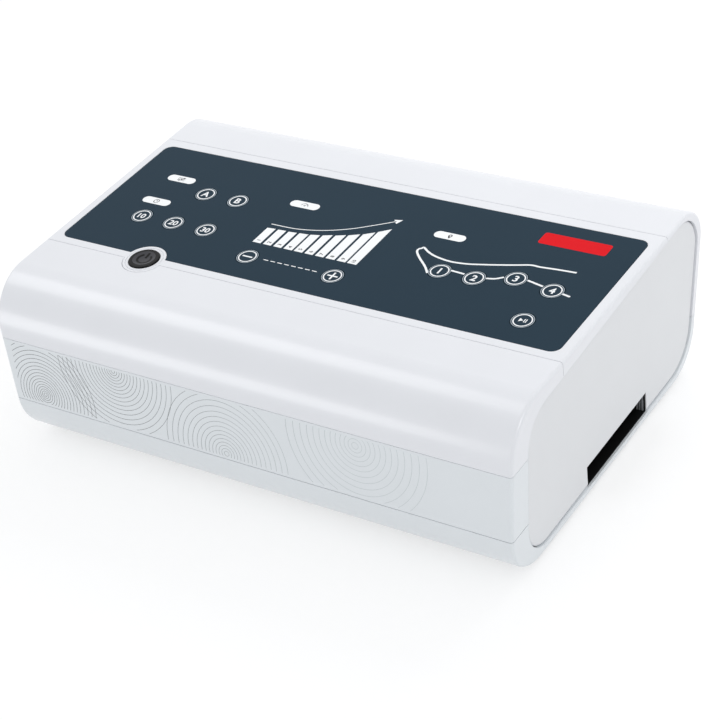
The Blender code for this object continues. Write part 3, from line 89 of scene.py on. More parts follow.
class Value:
    """An output of a shader's nodes, which plain sums can be written with."""

    def __init__(self, shader: "Shader", socket: bpy.types.NodeSocket) -> None:
        """Keep the socket and the shader that it belongs to."""
        self.shader = shader
        self.socket = socket

    def _sum(self, operation: str, first: "Value | float", second: "Value | float") -> "Value":
        """One Math node on two terms."""
        return self.shader.add("ShaderNodeMath", {"operation": operation}, {0: first, 1: second})

    def __add__(self, other: "Value | float") -> "Value":
        """This plus other."""
        return self._sum("ADD", self, other)

    def __radd__(self, other: float) -> "Value":
        """Other plus this."""
        return self._sum("ADD", other, self)

    def __sub__(self, other: "Value | float") -> "Value":
        """This minus other."""
        return self._sum("SUBTRACT", self, other)

    def __rsub__(self, other: float) -> "Value":
        """Other minus this."""
        return self._sum("SUBTRACT", other, self)

    def __mul__(self, other: "Value | float") -> "Value":
        """This times other."""
        return self._sum("MULTIPLY", self, other)

    def __rmul__(self, other: float) -> "Value":
        """Other times this."""
        return self._sum("MULTIPLY", other, self)

    def __truediv__(self, other: "Value | float") -> "Value":
        """This divided by other."""
        return self._sum("DIVIDE", self, other)

    def __gt__(self, other: "Value | float") -> "Value":
        """1 where this is greater than other, and 0 elsewhere."""
        return self._sum("GREATER_THAN", self, other)

    def __mod__(self, other: "Value | float") -> "Value":
        """What is left of this after whole steps of other, also below 0."""
        return self._sum("FLOORED_MODULO", self, other)


class Shader:
    """The nodes of one material or world."""

    def __init__(self, tree: bpy.types.NodeTree) -> None:
        """Keep the node tree."""
        self.tree = tree

    def add(
        self,
        kind: str,
        settings: dict[str, Any] | None = None,
        inputs: dict[int | str, Any] | None = None,
        output: int | str = 0,
    ) -> Value:
        """Add one node.

        Args:
            kind: The node's type.
            settings: Its own settings, and the stops of a colour ramp, which are set first.
            inputs: Values or links for its sockets.
            output: The output socket that is wanted.

        Returns:
            That output.
        """
        node = self.tree.nodes.new(kind)
        for name, value in (settings or {}).items():
            if name == "stops":
                self._set_stops(node.color_ramp, value)
            else:
                setattr(node, name, value)
        for key, value in (inputs or {}).items():
            self.feed(node.inputs[key], value)
        return Value(self, node.outputs[output])

    @staticmethod
    def _set_stops(ramp: bpy.types.ColorRamp, stops: Sequence[tuple[float, Sequence[float]]]) -> None:
        """Give a ramp its stops.

        Args:
            ramp: The ramp, with its first two stops still there.
            stops: Place and colour of each stop, from 0 to 1.
        """
        ramp.elements.remove(ramp.elements[1])
        for number, (place, colour) in enumerate(stops):
            stop = ramp.elements.new(place) if number else ramp.elements[0]
            stop.position = place
            stop.color = (*colour, 1)

    def feed(self, socket: bpy.types.NodeSocket, value: Any) -> None:
        """Link a value to a socket, or set it there.

        Args:
            socket: The socket.
            value: A Value, a number, a vector or a colour.
        """
        if isinstance(value, Value):
            self.tree.links.new(value.socket, socket)
        elif socket.type == "RGBA":
            socket.default_value = (*value, 1)
        else:
            socket.default_value = value

    def place(self, stretch: Sequence[float] = (1, 1, 1)) -> Value:
        """Object coordinates, multiplied along each axis.

        Args:
            stretch: The factor of each axis.

        Returns:
            The coordinates.
        """
        place = self.add("ShaderNodeTexCoord", output="Object")
        if tuple(stretch) == (1, 1, 1):
            return place
        return self.add("ShaderNodeMapping", {"vector_type": "POINT"}, {"Vector": place, "Scale": stretch})

    def along(self, axis: str) -> Value:
        """The object coordinate of one axis, X, Y or Z."""
        return self.add("ShaderNodeSeparateXYZ", inputs={0: self.place()}, output=axis)

    def noise(self, place: Value, size: float, detail: float = 2) -> Value:
        """A soft noise from 0 to 1.

        Args:
            place: Where it is read.
            size: Size of one lump, in metres.
            detail: How many finer layers it has.

        Returns:
            The noise.
        """
        return self.add("ShaderNodeTexNoise", inputs={"Vector": place, "Scale": 1 / size, "Detail": detail})

    def blend(self, factor: Value | float, first: Any, second: Any) -> Value:
        """Mix two colours.

        Args:
            factor: 0 gives the first, 1 the second.
            first: A colour.
            second: A colour.

        Returns:
            The mixed colour.
        """
        return self.add("ShaderNodeMix", {"data_type": "RGBA"}, {0: factor, 6: first, 7: second}, 2)

    def relief(self, height: Value, depth: float, under: Value | None = None) -> Value:
        """A bump.

        Args:
            height: How high the surface stands, from 0 to 1.
            depth: What 1 means, in metres.
            under: A bump that this one lies on.

        Returns:
            The normal.
        """
        inputs = {"Strength": 1.0, "Distance": depth, "Height": height}
        if under:
            inputs["Normal"] = under
        return self.add("ShaderNodeBump", inputs=inputs)


# Finishes


@dataclass(frozen=True)
class Finish:
    """What a surface is made of: a colour, a gloss and a fine uneven grain."""

    colour: str
    roughness: float = 0.4
    specular: float = 0.5
    clouding: float = 0.02
    cloud_size: float = 0.03
    uneven: float = 0.04
    grain: float = 0.0005
    depth: float = 0.000004

    def material(self, name: str) -> bpy.types.Material:
        """Make the Blender material.

        Args:
            name: Its name.

        Returns:
            The material.
        """
        made = bpy.data.materials.new(name)
        made.use_nodes = True
        surface = made.node_tree.nodes["Principled BSDF"]
        surface.inputs["Specular IOR Level"].default_value = self.specular
        shader = Shader(made.node_tree)
        for socket, value in self.layers(shader).items():
            shader.feed(surface.inputs[socket], value)
        made.diffuse_color = (*linear(self.colour), 1)
        return made

    def shades(self, shader: Shader, factor: Value, colour: str = "") -> Value:
        """The colour, a little darker and lighter from place to place.

        Args:
            shader: The shader to add nodes to.
            factor: Where it is dark, 0, and light, 1.
            colour: A colour in place of the finish's own.

        Returns:
            The colour.
        """
        own = linear(colour or self.colour)
        dark = tuple(c * (1 - self.clouding) for c in own)
        light = tuple(min(1.0, c * (1 + self.clouding)) for c in own)
        return shader.blend(factor, dark, light)

    def layers(self, shader: Shader) -> dict[str, Any]:
        """The values of the surface's sockets.

        Args:
            shader: The shader to add nodes to.

        Returns:
            A value for each socket that the finish sets.
        """
        place = shader.place()
        cloud = shader.noise(place, self.cloud_size, 3)
        grain = shader.noise(place, self.grain, 2)
        return {
            "Base Color": self.shades(shader, cloud),
            "Roughness": self.roughness + (cloud - 0.5) * self.uneven,
            "Normal": shader.relief(grain, self.depth),
        }


@dataclass(frozen=True)
class Lacquer(Finish):
    """Gloss moulding under a thin clear coat, with the slow waviness of a moulded wall."""

    coat: float = 0.3
    waviness: float = 0.00002

    def layers(self, shader: Shader) -> dict[str, Any]:
        """As any finish, with a coat and a slow wave."""
        layers = super().layers(shader)
        wave = shader.noise(shader.place(), 0.045, 1)
        layers["Normal"] = shader.relief(wave, self.waviness, layers["Normal"])
        layers["Coat Weight"] = self.coat
        layers["Coat Roughness"] = self.roughness / 2
        return layers


@dataclass(frozen=True)
class Metal(Finish):
    """Bare or plated metal, with fine marks drawn out along one axis."""

    stretch: tuple[float, float, float] = (1, 1, 1)

    def layers(self, shader: Shader) -> dict[str, Any]:
        """Marks in the metal's gloss, colour and relief."""
        marks = shader.noise(shader.place(self.stretch), self.grain, 4)
        return {
            "Base Color": self.shades(shader, marks),
            "Metallic": 1.0,
            "Roughness": self.roughness + (marks - 0.5) * self.uneven,
            "Normal": shader.relief(marks, self.depth),
        }


@dataclass(frozen=True)
class Stack(Finish):
    """Thin layers side by side: iron laminations, or turns of enamelled wire."""

    axis: str = "Y"
    pitch: float = 0.0005
    # groove colour: a dark joint between laminations, and painted shade in the crease between turns of wire
    groove: str = "#101012"

    def layers(self, shader: Shader) -> dict[str, Any]:
        """A rounded ridge for each layer, with a dark groove between: a dark joint between iron laminations,
        and painted shade in the crease between turns of wire.
        """
        share = shader.along(self.axis) % self.pitch / self.pitch
        ridge = 4 * share * (1 - share)
        scuffs = shader.noise(shader.place(), self.cloud_size, 4)
        colour = shader.blend(ridge, linear(self.groove), self.shades(shader, scuffs))
        return {
            "Base Color": colour,
            "Metallic": 1.0,
            "Roughness": self.roughness + (scuffs - 0.5) * self.uneven,
            "Normal": shader.relief(ridge, self.depth),
        }


@dataclass(frozen=True)
class Board(Finish):
    """A circuit board with fine tracks, and dark parts standing above the board's top."""

    top: float = 0.0921
    parts: str = "#1b1b1e"

    def layers(self, shader: Shader) -> dict[str, Any]:
        """Tracks under green lacquer, and the parts that stand on it."""
        place = shader.place()
        tracks = shader.add(
            "ShaderNodeTexVoronoi",
            {"feature": "DISTANCE_TO_EDGE", "distance": "MANHATTAN"},
            {"Vector": place, "Scale": 1 / 0.004},
        )
        gap = tracks > 0.08
        green = shader.blend(gap, linear("#2f7a4c"), self.shades(shader, shader.noise(place, 0.01)))
        standing = shader.along("Z") > self.top
        return {
            "Base Color": shader.blend(standing, green, linear(self.parts)),
            "Roughness": self.roughness + standing * 0.15,
            "Normal": shader.relief(gap, self.depth),
        }


@dataclass(frozen=True)
class FadedInk(Finish):
    """Ink that grows paler from the left to the right of the case."""

    pale: str = "#c6cdcf"
    left: float = -0.14
    right: float = 0.11

    def layers(self, shader: Shader) -> dict[str, Any]:
        """As any finish, with the colour taken from the place along X."""
        layers = super().layers(shader)
        share = shader.add(
            "ShaderNodeMapRange",
            {"interpolation_type": "SMOOTHSTEP"},
            {"Value": shader.along("X"), "From Min": self.left, "From Max": self.right},
        )
        layers["Base Color"] = shader.blend(share, linear(self.colour), linear(self.pale))
        return layers


class Look(Enum):
    """The looks of the pump's surfaces; the first fifteen are the record's slots."""

    WHITE_COVER = Lacquer("#e8e9ed", roughness=0.3)
    # cool white cover: the same white plastic as the white cover, drawn a little darker and cooler as painted
    # shade on the front band and base, which face away from the light
    COOL_WHITE_COVER = Lacquer("#e2e6e9", roughness=0.3)
    SIDE_PANEL = Finish("#e2e3e5", roughness=0.42, grain=0.0007, depth=0.000012)
    OVERLAY = Finish("#273946", roughness=0.42, specular=0.05, clouding=0.05, grain=0.0004, depth=0.000006)
    BLACK_GLOSS = Lacquer("#0e0e10", roughness=0.24, specular=0.12, coat=0.06, waviness=0.000005)
    BLACK_MATT = Finish("#0b0b0c", roughness=0.5, specular=0.25, clouding=0.1, depth=0.00001)
    RUBBER = Finish("#5c5d61", roughness=0.8, specular=0.2, clouding=0.08, grain=0.0008, depth=0.00004)
    CIRCUIT_BOARD = Board("#1d5f38", roughness=0.35, depth=0.00003)
    ZINC_STEEL = Metal("#c2c3c6", roughness=0.34, clouding=0.12, uneven=0.12, grain=0.001, depth=0.000006)
    LAMINATED_IRON = Stack("#6d6d70", roughness=0.5, clouding=0.15, uneven=0.1, depth=0.00006)
    # the winding's dark groove colour is painted shade in the creases between turns
    COPPER_WINDING = Stack(
        "#b5642e", roughness=0.3, axis="X", pitch=0.0007, groove="#3a1a0a", depth=0.0002, clouding=0.1
    )
    CAST_ALUMINIUM = Metal("#b9babd", roughness=0.5, clouding=0.1, uneven=0.1, grain=0.0015, depth=0.00006)
    GREY_PLASTIC = Finish("#85878a", roughness=0.5, clouding=0.04, depth=0.00002)
    WHITE_PLASTIC = Finish("#dcdcd8", roughness=0.45, clouding=0.03, depth=0.000015)
    HOSE = Finish("#a3a5a7", roughness=0.35, clouding=0.05, cloud_size=0.012, depth=0.00001)
    # the upright winding's dark groove colour is painted shade in the creases between turns
    UPRIGHT_WINDING = Stack(
        "#b5642e", roughness=0.3, axis="Z", pitch=0.0006, groove="#3a1a0a", depth=0.0002, clouding=0.1
    )
    LOW_BOARD = Board("#1d5f38", roughness=0.35, depth=0.00003, top=0.0128)
    DARK_FACE = Finish("#3f3f43", roughness=0.35, specular=0.15, clouding=0.05, grain=0.0003)
    WHITE_INK = Finish("#fafbfc", roughness=0.5, specular=0.2, cloud_size=0.002, grain=0.0003)
    GREY_INK = Finish("#aeb7be", roughness=0.5, specular=0.15, cloud_size=0.002, grain=0.0003)
    SLATE_INK = Finish("#34434f", roughness=0.5, specular=0.15, cloud_size=0.002, grain=0.0003)
    RED_INK = Finish("#e0141f", roughness=0.45, specular=0.06, cloud_size=0.004, grain=0.0003)
    BLACK_INK = Finish("#030303", roughness=0.45, specular=0.15, cloud_size=0.002, grain=0.0003)
    RIPPLE_INK = FadedInk("#24282c", roughness=0.4, specular=0.3, cloud_size=0.01)
    PIN_METAL = Metal("#d3cfc4", roughness=0.22, clouding=0.06, uneven=0.08, grain=0.0006, depth=0.000003)

    def material(self) -> bpy.types.Material:
        """The look's material, made the first time it is asked for."""
        name = f"look_{self.name.lower()}"
        return bpy.data.materials.get(name) or self.value.material(name)


# Solids


class Operation(Enum):
    """What a Boolean does with its second solid."""

    JOIN = "UNION"
    CUT = "DIFFERENCE"
    KEEP = "INTERSECT"


class Solid:
    """A closed body in the making, held as a bmesh."""

    def __init__(self) -> None:
        """Start with nothing."""
        self.bm = bmesh.new()
        self.last: bmesh.types.BMVert | None = None

    @classmethod
    def block(cls, low: Sequence[float], high: Sequence[float]) -> "Solid":
        """Make a box.

        Args:
            low: Its lowest corner.
            high: Its highest corner.

        Returns:
            The box.
        """
        made = cls()
        size = Vector(high) - Vector(low)
        place = Matrix.Translation((Vector(high) + Vector(low)) / 2) @ Matrix.Diagonal((*size, 1))
        bmesh.ops.create_cube(made.bm, size=1, matrix=place)
        return made

    @classmethod
    def rods(
        cls, places: Iterable[Sequence[float]], low: float, high: float, radius: float, steps: int = 48
    ) -> "Solid":
        """Make upright rods of one size.

        Args:
            places: X and Y of each rod.
            low: Height of their feet.
            high: Height of their tops.
            radius: Their radius.
            steps: Facets round each.

        Returns:
            The rods.
        """
        made = cls()
        for x, y in places:
            bmesh.ops.create_cone(
                made.bm,
                cap_ends=True,
                segments=steps,
                radius1=radius,
                radius2=radius,
                depth=high - low,
                matrix=Matrix.Translation((x, y, (low + high) / 2)),
            )
        return made

    @classmethod
    def plate(
        cls, width: float, depth: float, radius: float, low: float, high: float, centre: Sequence[float]
    ) -> "Solid":
        """Make a flat plate with round corners.

        Args:
            width: Its size along X.
            depth: Its size along Y.
            radius: Radius of its corners.
            low: Height of its underside.
            high: Height of its top.
            centre: X and Y of its middle.

        Returns:
            The plate.
        """
        made = cls()
        place = Matrix.Translation((*centre, low)) @ Matrix.Diagonal((width, depth, 1, 1))
        bmesh.ops.create_grid(made.bm, x_segments=1, y_segments=1, size=0.5, matrix=place)
        bmesh.ops.bevel(
            made.bm,
            geom=made.bm.verts[:],
            offset=min(radius, 0.4999 * min(width, depth)),
            offset_type="OFFSET",
            segments=12,
            profile=0.5,
            affect="VERTICES",
            material=-1,
        )
        return made.raised((0, 0, high - low))

    def line(self, *points: Sequence[float]) -> "Solid":
        """Carry an outline on by straight edges.

        Args:
            points: Radius and height of each next corner.

        Returns:
            This solid.
        """
        for radius, height in points:
            corner = self.bm.verts.new((radius, 0, height))
            if self.last:
                self.bm.edges.new((self.last, corner))
            self.last = corner
        return self

    def arc(self, centre: Sequence[float], angle: float, steps: int = 8) -> "Solid":
        """Carry an outline on round a centre.

        Args:
            centre: Radius and height of the centre.
            angle: How far it turns, outwards and down.
            steps: Facets of the arc.

        Returns:
            This solid.
        """
        made = bmesh.ops.spin(
            self.bm,
            geom=[self.last],
            cent=(centre[0], 0, centre[1]),
            axis=(0, 1, 0),
            angle=angle,
            steps=steps,
        )
        self.last = next(e for e in made["geom_last"] if isinstance(e, bmesh.types.BMVert))
        return self

    def whirled(self, place: Sequence[float], steps: int = FINE_STEPS) -> "Solid":
        """Turn the outline about Z into a round body.

        Args:
            place: Where the body's own origin goes.
            steps: Facets round it.

        Returns:
            This solid.
        """
        bmesh.ops.spin(
            self.bm,
            geom=self.bm.verts[:] + self.bm.edges[:],
            cent=(0, 0, 0),
            axis=(0, 0, 1),
            angle=math.tau,
            steps=steps,
            use_merge=True,
        )
        return self.closed().moved(Matrix.Translation(place))

    def raised(self, rise: Sequence[float]) -> "Solid":
        """Give flat faces a thickness.

        Args:
            rise: How far, and which way.

        Returns:
            This solid.
        """
        grown = bmesh.ops.extrude_face_region(self.bm, geom=self.bm.faces[:])
        corners = [e for e in grown["geom"] if isinstance(e, bmesh.types.BMVert)]
        bmesh.ops.translate(self.bm, verts=corners, vec=rise)
        return self.closed()

    def closed(self) -> "Solid":
        """Merge doubled corners and turn the faces outwards."""
        bmesh.ops.remove_doubles(self.bm, verts=self.bm.verts, dist=MERGE)
        bmesh.ops.recalc_face_normals(self.bm, faces=self.bm.faces)
        return self

    def moved(self, matrix: Matrix) -> "Solid":
        """Move, turn or shear the whole."""
        bmesh.ops.transform(self.bm, matrix=matrix, verts=self.bm.verts)
        return self

    def drafted(self, lean: float, top: float) -> "Solid":
        """Lean both ends inwards towards the base.

        Args:
            lean: The angle.
            top: The height at which nothing moves.

        Returns:
            This solid.
        """
        for direction in (-1, 1):
            shear = Matrix()
            shear[0][2] = direction * math.tan(lean)
            shear[0][3] = -shear[0][2] * top
            side = [v for v in self.bm.verts if v.co.x * direction > 0]
            bmesh.ops.transform(self.bm, matrix=shear, verts=side)
        return self

    def copy(self) -> "Solid":
        """A second solid like this one."""
        made = Solid()
        made.bm = self.bm.copy()
        return made

    def added(self, other: "Solid") -> "Solid":
        """Take in another body that this one doesn't touch."""
        mesh = bpy.data.meshes.new("other")
        other.bm.to_mesh(mesh)
        self.bm.from_mesh(mesh)
        bpy.data.meshes.remove(mesh)
        return self

    def combined(self, operation: Operation, *others: "Solid") -> "Solid":
        """Join with, cut by or keep what lies inside other solids, one after another.

        Args:
            operation: What to do with each.
            others: The other solids.

        Returns:
            This solid.
        """
        for other in others:
            holders = []
            for solid in (self, other):
                mesh = bpy.data.meshes.new("holder")
                solid.bm.to_mesh(mesh)
                holders.append(bpy.data.objects.new("holder", mesh))
                bpy.context.scene.collection.objects.link(holders[-1])
            modifier = holders[0].modifiers.new("combine", "BOOLEAN")
            modifier.operation = operation.value
            modifier.solver = "EXACT"
            modifier.object = holders[1]
            graph = bpy.context.evaluated_depsgraph_get()
            mesh = bpy.data.meshes.new_from_object(holders[0].evaluated_get(graph))
            self.bm.free()
            self.bm = bmesh.new()
            self.bm.from_mesh(mesh)
            bmesh.ops.remove_doubles(self.bm, verts=self.bm.verts, dist=MERGE)
            for data in (mesh, *(holder.data for holder in holders)):
                bpy.data.meshes.remove(data)
        return self

    def softened(self, width: float, steps: int = 2, angle: float = math.radians(40)) -> "Solid":
        """Round the outer edges a little.

        Args:
            width: How wide the rounding is.
            steps: Facets across it.
            angle: Edges that turn less than this stay as they are.

        Returns:
            This solid.
        """
        edges = [e for e in self.bm.edges if e.is_manifold and e.is_convex and e.calc_face_angle() > angle]
        bmesh.ops.bevel(
            self.bm,
            geom=edges,
            offset=width,
            offset_type="OFFSET",
            segments=steps,
            profile=0.5,
            affect="EDGES",
            clamp_overlap=True,
            material=-1,
        )
        return self

    def mesh(self, name: str) -> bpy.types.Mesh:
        """The finished mesh, smooth but for its edges.

        Args:
            name: Its name.

        Returns:
            The mesh.
        """
        bmesh.ops.remove_doubles(self.bm, verts=self.bm.verts, dist=MERGE)
        made = bpy.data.meshes.new(name)
        self.bm.to_mesh(made)
        self.bm.free()
        made.shade_smooth()
        made.set_sharp_from_angle(angle=SMOOTH_ANGLE)
        return made


class Pen:
    """Flat marks that are gathered on the XY plane and then given the thickness of ink."""

    def __init__(self) -> None:
        """Start with no marks."""
        self.solid = Solid()

    def polygon(self, *corners: Sequence[float]) -> "Pen":
        """Fill a shape given by its corners."""
        bm = self.solid.bm
        bm.faces.new([bm.verts.new((x, y, 0)) for x, y in corners])
        return self

    def stroke(self, points: Sequence[Sequence[float]], width: float) -> "Pen":
        """Draw a ribbon through points.

        Args:
            points: X and Y of each point.
            width: The ribbon's width.

        Returns:
            This pen.
        """
        path = [Vector((x, y)) for x, y in points]
        made = bmesh.ops.create_grid(self.solid.bm, x_segments=len(path) - 1, y_segments=1, size=1)["verts"]
        for k, point in enumerate(path):
            ahead = path[min(k + 1, len(path) - 1)] - path[max(k - 1, 0)]
            aside = Vector((-ahead.y, ahead.x)).normalized() * width / 2
            for vert, edge in ((made[k], point - aside), (made[k + len(path)], point + aside)):
                vert.co = (*edge, 0)
        return self

    def curve(self, points: Sequence[Sequence[float]], width: float, steps: int = 8) -> "Pen":
        """Draw a ribbon along a smooth run through points.

        Args:
            points: X and Y of each point.
            width: The ribbon's width.
            steps: Facets from one point to the next.

        Returns:
            This pen.
        """
        path = [Vector((x, y)) for x, y in points]
        path = [2 * path[0] - path[1], *path, 2 * path[-1] - path[-2]]
        run = []
        for before, start, end, after in zip(path, path[1:], path[2:], path[3:]):
            for step in range(steps):
                t = step / steps
                bend = (2 * before - 5 * start + 4 * end - after) * t**2
                turn = (3 * start - before - 3 * end + after) * t**3
                run.append(start + ((end - before) * t + bend + turn) / 2)
        return self.stroke([*run, path[-2]], width)

    def ring(
        self, centre: Sequence[float], radius: float, width: float, start: float = 0, sweep: float = math.tau
    ) -> "Pen":
        """Draw a circle or part of one.

        Args:
            centre: X and Y of its middle.
            radius: Radius of the line's middle.
            width: The line's width.
            start: Angle of its start.
            sweep: How far it goes round.

        Returns:
            This pen.
        """
        bm = self.solid.bm
        aim = Vector((math.cos(start), math.sin(start), 0))
        middle_point = Vector((*centre, 0))
        ends = [bm.verts.new(middle_point + aim * (radius + side * width / 2)) for side in (-1, 1)]
        bmesh.ops.spin(
            bm,
            geom=[*ends, bm.edges.new(ends)],
            cent=middle_point,
            axis=(0, 0, 1),
            angle=sweep,
            steps=max(8, int(FINE_STEPS * sweep / math.tau)),
            use_merge=sweep == math.tau,
        )
        return self

    def disc(self, centre: Sequence[float], radius: float) -> "Pen":
        """Fill a circle."""
        place = Matrix.Translation((*centre, 0))
        bmesh.ops.create_circle(self.solid.bm, cap_ends=True, segments=32, radius=radius, matrix=place)
        return self

    def bar(self, centre: Sequence[float], width: float, depth: float, radius: float = 0) -> "Pen":
        """Fill a bar.

        Args:
            centre: X and Y of its middle.
            width: Its size along X.
            depth: Its size along Y.
            radius: Radius of its corners.

        Returns:
            This pen.
        """
        place = Matrix.Translation((*centre, 0)) @ Matrix.Diagonal((width, depth, 1, 1))
        corners = bmesh.ops.create_grid(self.solid.bm, x_segments=1, y_segments=1, size=0.5, matrix=place)
        if radius:
            bmesh.ops.bevel(
                self.solid.bm,
                geom=corners["verts"],
                offset=min(radius, 0.4999 * min(width, depth)),
                offset_type="OFFSET",
                segments=10,
                profile=0.5,
                affect="VERTICES",
                material=-1,
            )
        return self

    def letters(self, text: str, height: float, centre: Sequence[float], turn: float = 0) -> "Pen":
        """Set numerals or a letter in a plain bold face.

        Args:
            text: What it says.
            height: Height of a capital.
            centre: X and Y of its middle.
            turn: Angle that it is turned by.

        Returns:
            This pen.
        """
        type_face = bpy.data.curves.new("letters", "FONT")
        type_face.body = text
        type_face.offset = 0.022
        type_face.resolution_u = 4
        holder = bpy.data.objects.new("letters", type_face)
        bpy.context.scene.collection.objects.link(holder)
        graph = bpy.context.evaluated_depsgraph_get()
        mesh = bpy.data.meshes.new_from_object(holder.evaluated_get(graph))
        bpy.data.objects.remove(holder)
        spots = [v.co for v in mesh.vertices]
        low = Vector([min(s[k] for s in spots) for k in range(3)])
        high = Vector([max(s[k] for s in spots) for k in range(3)])
        scale = height / (high.y - low.y)
        place = Matrix.Translation((*centre, 0)) @ Matrix.Rotation(turn, 4, "Z") @ Matrix.Scale(scale, 4)
        mesh.transform(place @ Matrix.Translation(-(low + high) / 2))
        self.solid.bm.from_mesh(mesh)
        bpy.data.meshes.remove(mesh)
        return self

    def inked(self, place: Matrix, thickness: float = INK) -> Solid:
        """Give the marks their thickness and put them where they are printed.

        Args:
            place: Takes the drawing plane to its place.
            thickness: How thick the ink is.

        Returns:
            The marks as a solid.
        """
        bmesh.ops.remove_doubles(self.solid.bm, verts=self.solid.bm.verts, dist=MERGE)
        return self.solid.raised((0, 0, thickness)).moved(place)


@dataclass(frozen=True)
class Section:
    """A cross-section in YZ: sides joined by fillets, each given by its normal's angle and reach."""

    sides: tuple[tuple[float, float], ...]
    radii: tuple[float, ...]

    @staticmethod
    def side(angle: float, centre: Sequence[float], radius: float = 0) -> tuple[float, float]:
        """The side with this outward normal that touches a circle.

        Args:
            angle: The normal's angle from +Y towards +Z.
            centre: Y and Z of the circle's middle.
            radius: The circle's radius.

        Returns:
            The angle, and how far out the side lies.
        """
        return angle, math.cos(angle) * centre[0] + math.sin(angle) * centre[1] + radius

    def prism(self, low: float, high: float, inset: float = 0, rounding: float = 0, steps: int = 22) -> Solid:
        """Run the section along X.

        Args:
            low: X of its left end.
            high: X of its right end.
            inset: How far each side is moved in.
            rounding: Radius of the edges round both ends.
            steps: Facets of each fillet.

        Returns:
            The prism.
        """
        made = Solid()
        for k, radius in enumerate(self.radii):
            (angle, reach), (next_angle, next_reach) = self.sides[k], self.sides[(k + 1) % len(self.sides)]
            sweep = (next_angle - angle) % math.tau
            a, b = reach - radius, next_reach - radius
            y = (a * math.sin(next_angle) - b * math.sin(angle)) / math.sin(sweep)
            z = (b * math.cos(angle) - a * math.cos(next_angle)) / math.sin(sweep)
            far = radius - inset
            start = made.bm.verts.new((low, y + far * math.cos(angle), z + far * math.sin(angle)))
            bmesh.ops.spin(made.bm, geom=[start], cent=(low, y, z), axis=(1, 0, 0), angle=sweep, steps=steps)
        made.bm.faces.new(made.bm.verts[:])
        made.raised((high - low, 0, 0))
        if rounding:
            rims = {e for f in made.bm.faces if abs(f.normal.x) > 0.9 for e in f.edges}
            bmesh.ops.bevel(
                made.bm,
                geom=list(rims),
                offset=rounding,
                offset_type="OFFSET",
                segments=4,
                profile=0.5,
                affect="EDGES",
                material=-1,
            )
        return made


@dataclass(frozen=True)
class CaseShape:
    """The case's outer form, which its covers, end panels and overlay share."""

    width: float = 0.343
    depth: float = 0.2212
    top: float = 0.105
    base: float = 0.002
    front_lean: float = math.radians(6.4)
    rear_lean: float = math.radians(10.5)
    end_lean: float = math.radians(3.3)
    shoulder_radius: float = 0.032
    front_base_radius: float = 0.027
    rear_base_radius: float = 0.028
    rear_top_radius: float = 0.022
    crease: float = 0.0019
    wall: float = 0.0028
    rim: float = 0.0055
    rim_top: float = 0.0061
    rim_front: float = 0.0165
    rim_rear: float = 0.005
    rim_bottom: float = 0.0045
    opening_tilt: float = math.radians(3)
    opening_radii: tuple[float, ...] = (0.022, 0.022, 0.019, 0.027)
    panel_middle: float = 0.0089
    clearance: float = 0.0003
    overrun: float = 0.02

    def section(self) -> Section:
        """The case's cross-section: rear, top, front and underside."""
        rear = (self.depth / 2 - self.rear_top_radius, self.top - self.rear_top_radius)
        front = (self.front_base_radius - self.depth / 2, self.base + self.front_base_radius)
        sides = (
            Section.side(-self.rear_lean, rear, self.rear_top_radius),
            Section.side(math.pi / 2, (0, self.top)),
            Section.side(math.pi - self.front_lean, front, self.front_base_radius),
            Section.side(-math.pi / 2, (0, self.base)),
        )
        radii = (self.rear_top_radius, self.shoulder_radius, self.front_base_radius, self.rear_base_radius)
        return Section(sides, radii)

    def opening(self) -> Section:
        """The opening in each end, which an end panel fills."""
        rear, _, front, _ = self.section().sides
        sides = (
            (rear[0], rear[1] - self.rim_rear),
            Section.side(math.pi / 2 + self.opening_tilt, (self.panel_middle, self.top - self.rim_top)),
            (front[0], front[1] - self.rim_front),
            Section.side(-math.pi / 2, (0, self.base + self.rim_bottom)),
        )
        return Section(sides, self.opening_radii)

    def filled(self, inset: float, short: float, rounding: float = 0) -> Solid:
        """The case as one solid, or the space inside its walls.

        Args:
            inset: How far its long faces are moved in.
            short: How far its ends are moved in.
            rounding: Radius of the edges round its ends.

        Returns:
            The solid, with its ends leaning.
        """
        half = self.width / 2 - short
        return self.section().prism(-half, half, inset, rounding).drafted(self.end_lean, self.top)

    def openings(self) -> Solid:
        """What is cut out of both ends."""
        near = self.width / 2 - self.rim - self.clearance
        far = self.width / 2 + self.overrun
        made = self.opening().prism(-far, -near)
        return made.added(self.opening().prism(near, far)).drafted(self.end_lean, self.top)

    def half_width(self, height: float) -> float:
        """Half the case's width at a height."""
        return self.width / 2 - math.tan(self.end_lean) * (self.top - height)


# Sub-assemblies


class SubAssembly:
    """Pieces that belong together."""

    def fit(
        self,
        name: str,
        solid: Solid,
        look: Look,
        slot: Look | None = None,
        body: str = "case",
        stands_for: Sequence[str] = (),
    ) -> bpy.types.Object:
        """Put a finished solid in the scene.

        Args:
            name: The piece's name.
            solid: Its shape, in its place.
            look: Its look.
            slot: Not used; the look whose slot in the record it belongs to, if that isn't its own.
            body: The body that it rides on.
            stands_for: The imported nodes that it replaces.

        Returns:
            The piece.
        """
        piece = bpy.data.objects.new(name, solid.mesh(name))
        bpy.context.scene.collection.objects.link(piece)
        piece.data.materials.append(look.material())
        piece.modifiers.new("even shading", "WEIGHTED_NORMAL").keep_sharp = True
        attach(piece, body)
        if stands_for:
            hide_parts(*stands_for)
        LOG.info("%s: %d faces, rides on %s", name, len(piece.data.polygons), body)
        return piece


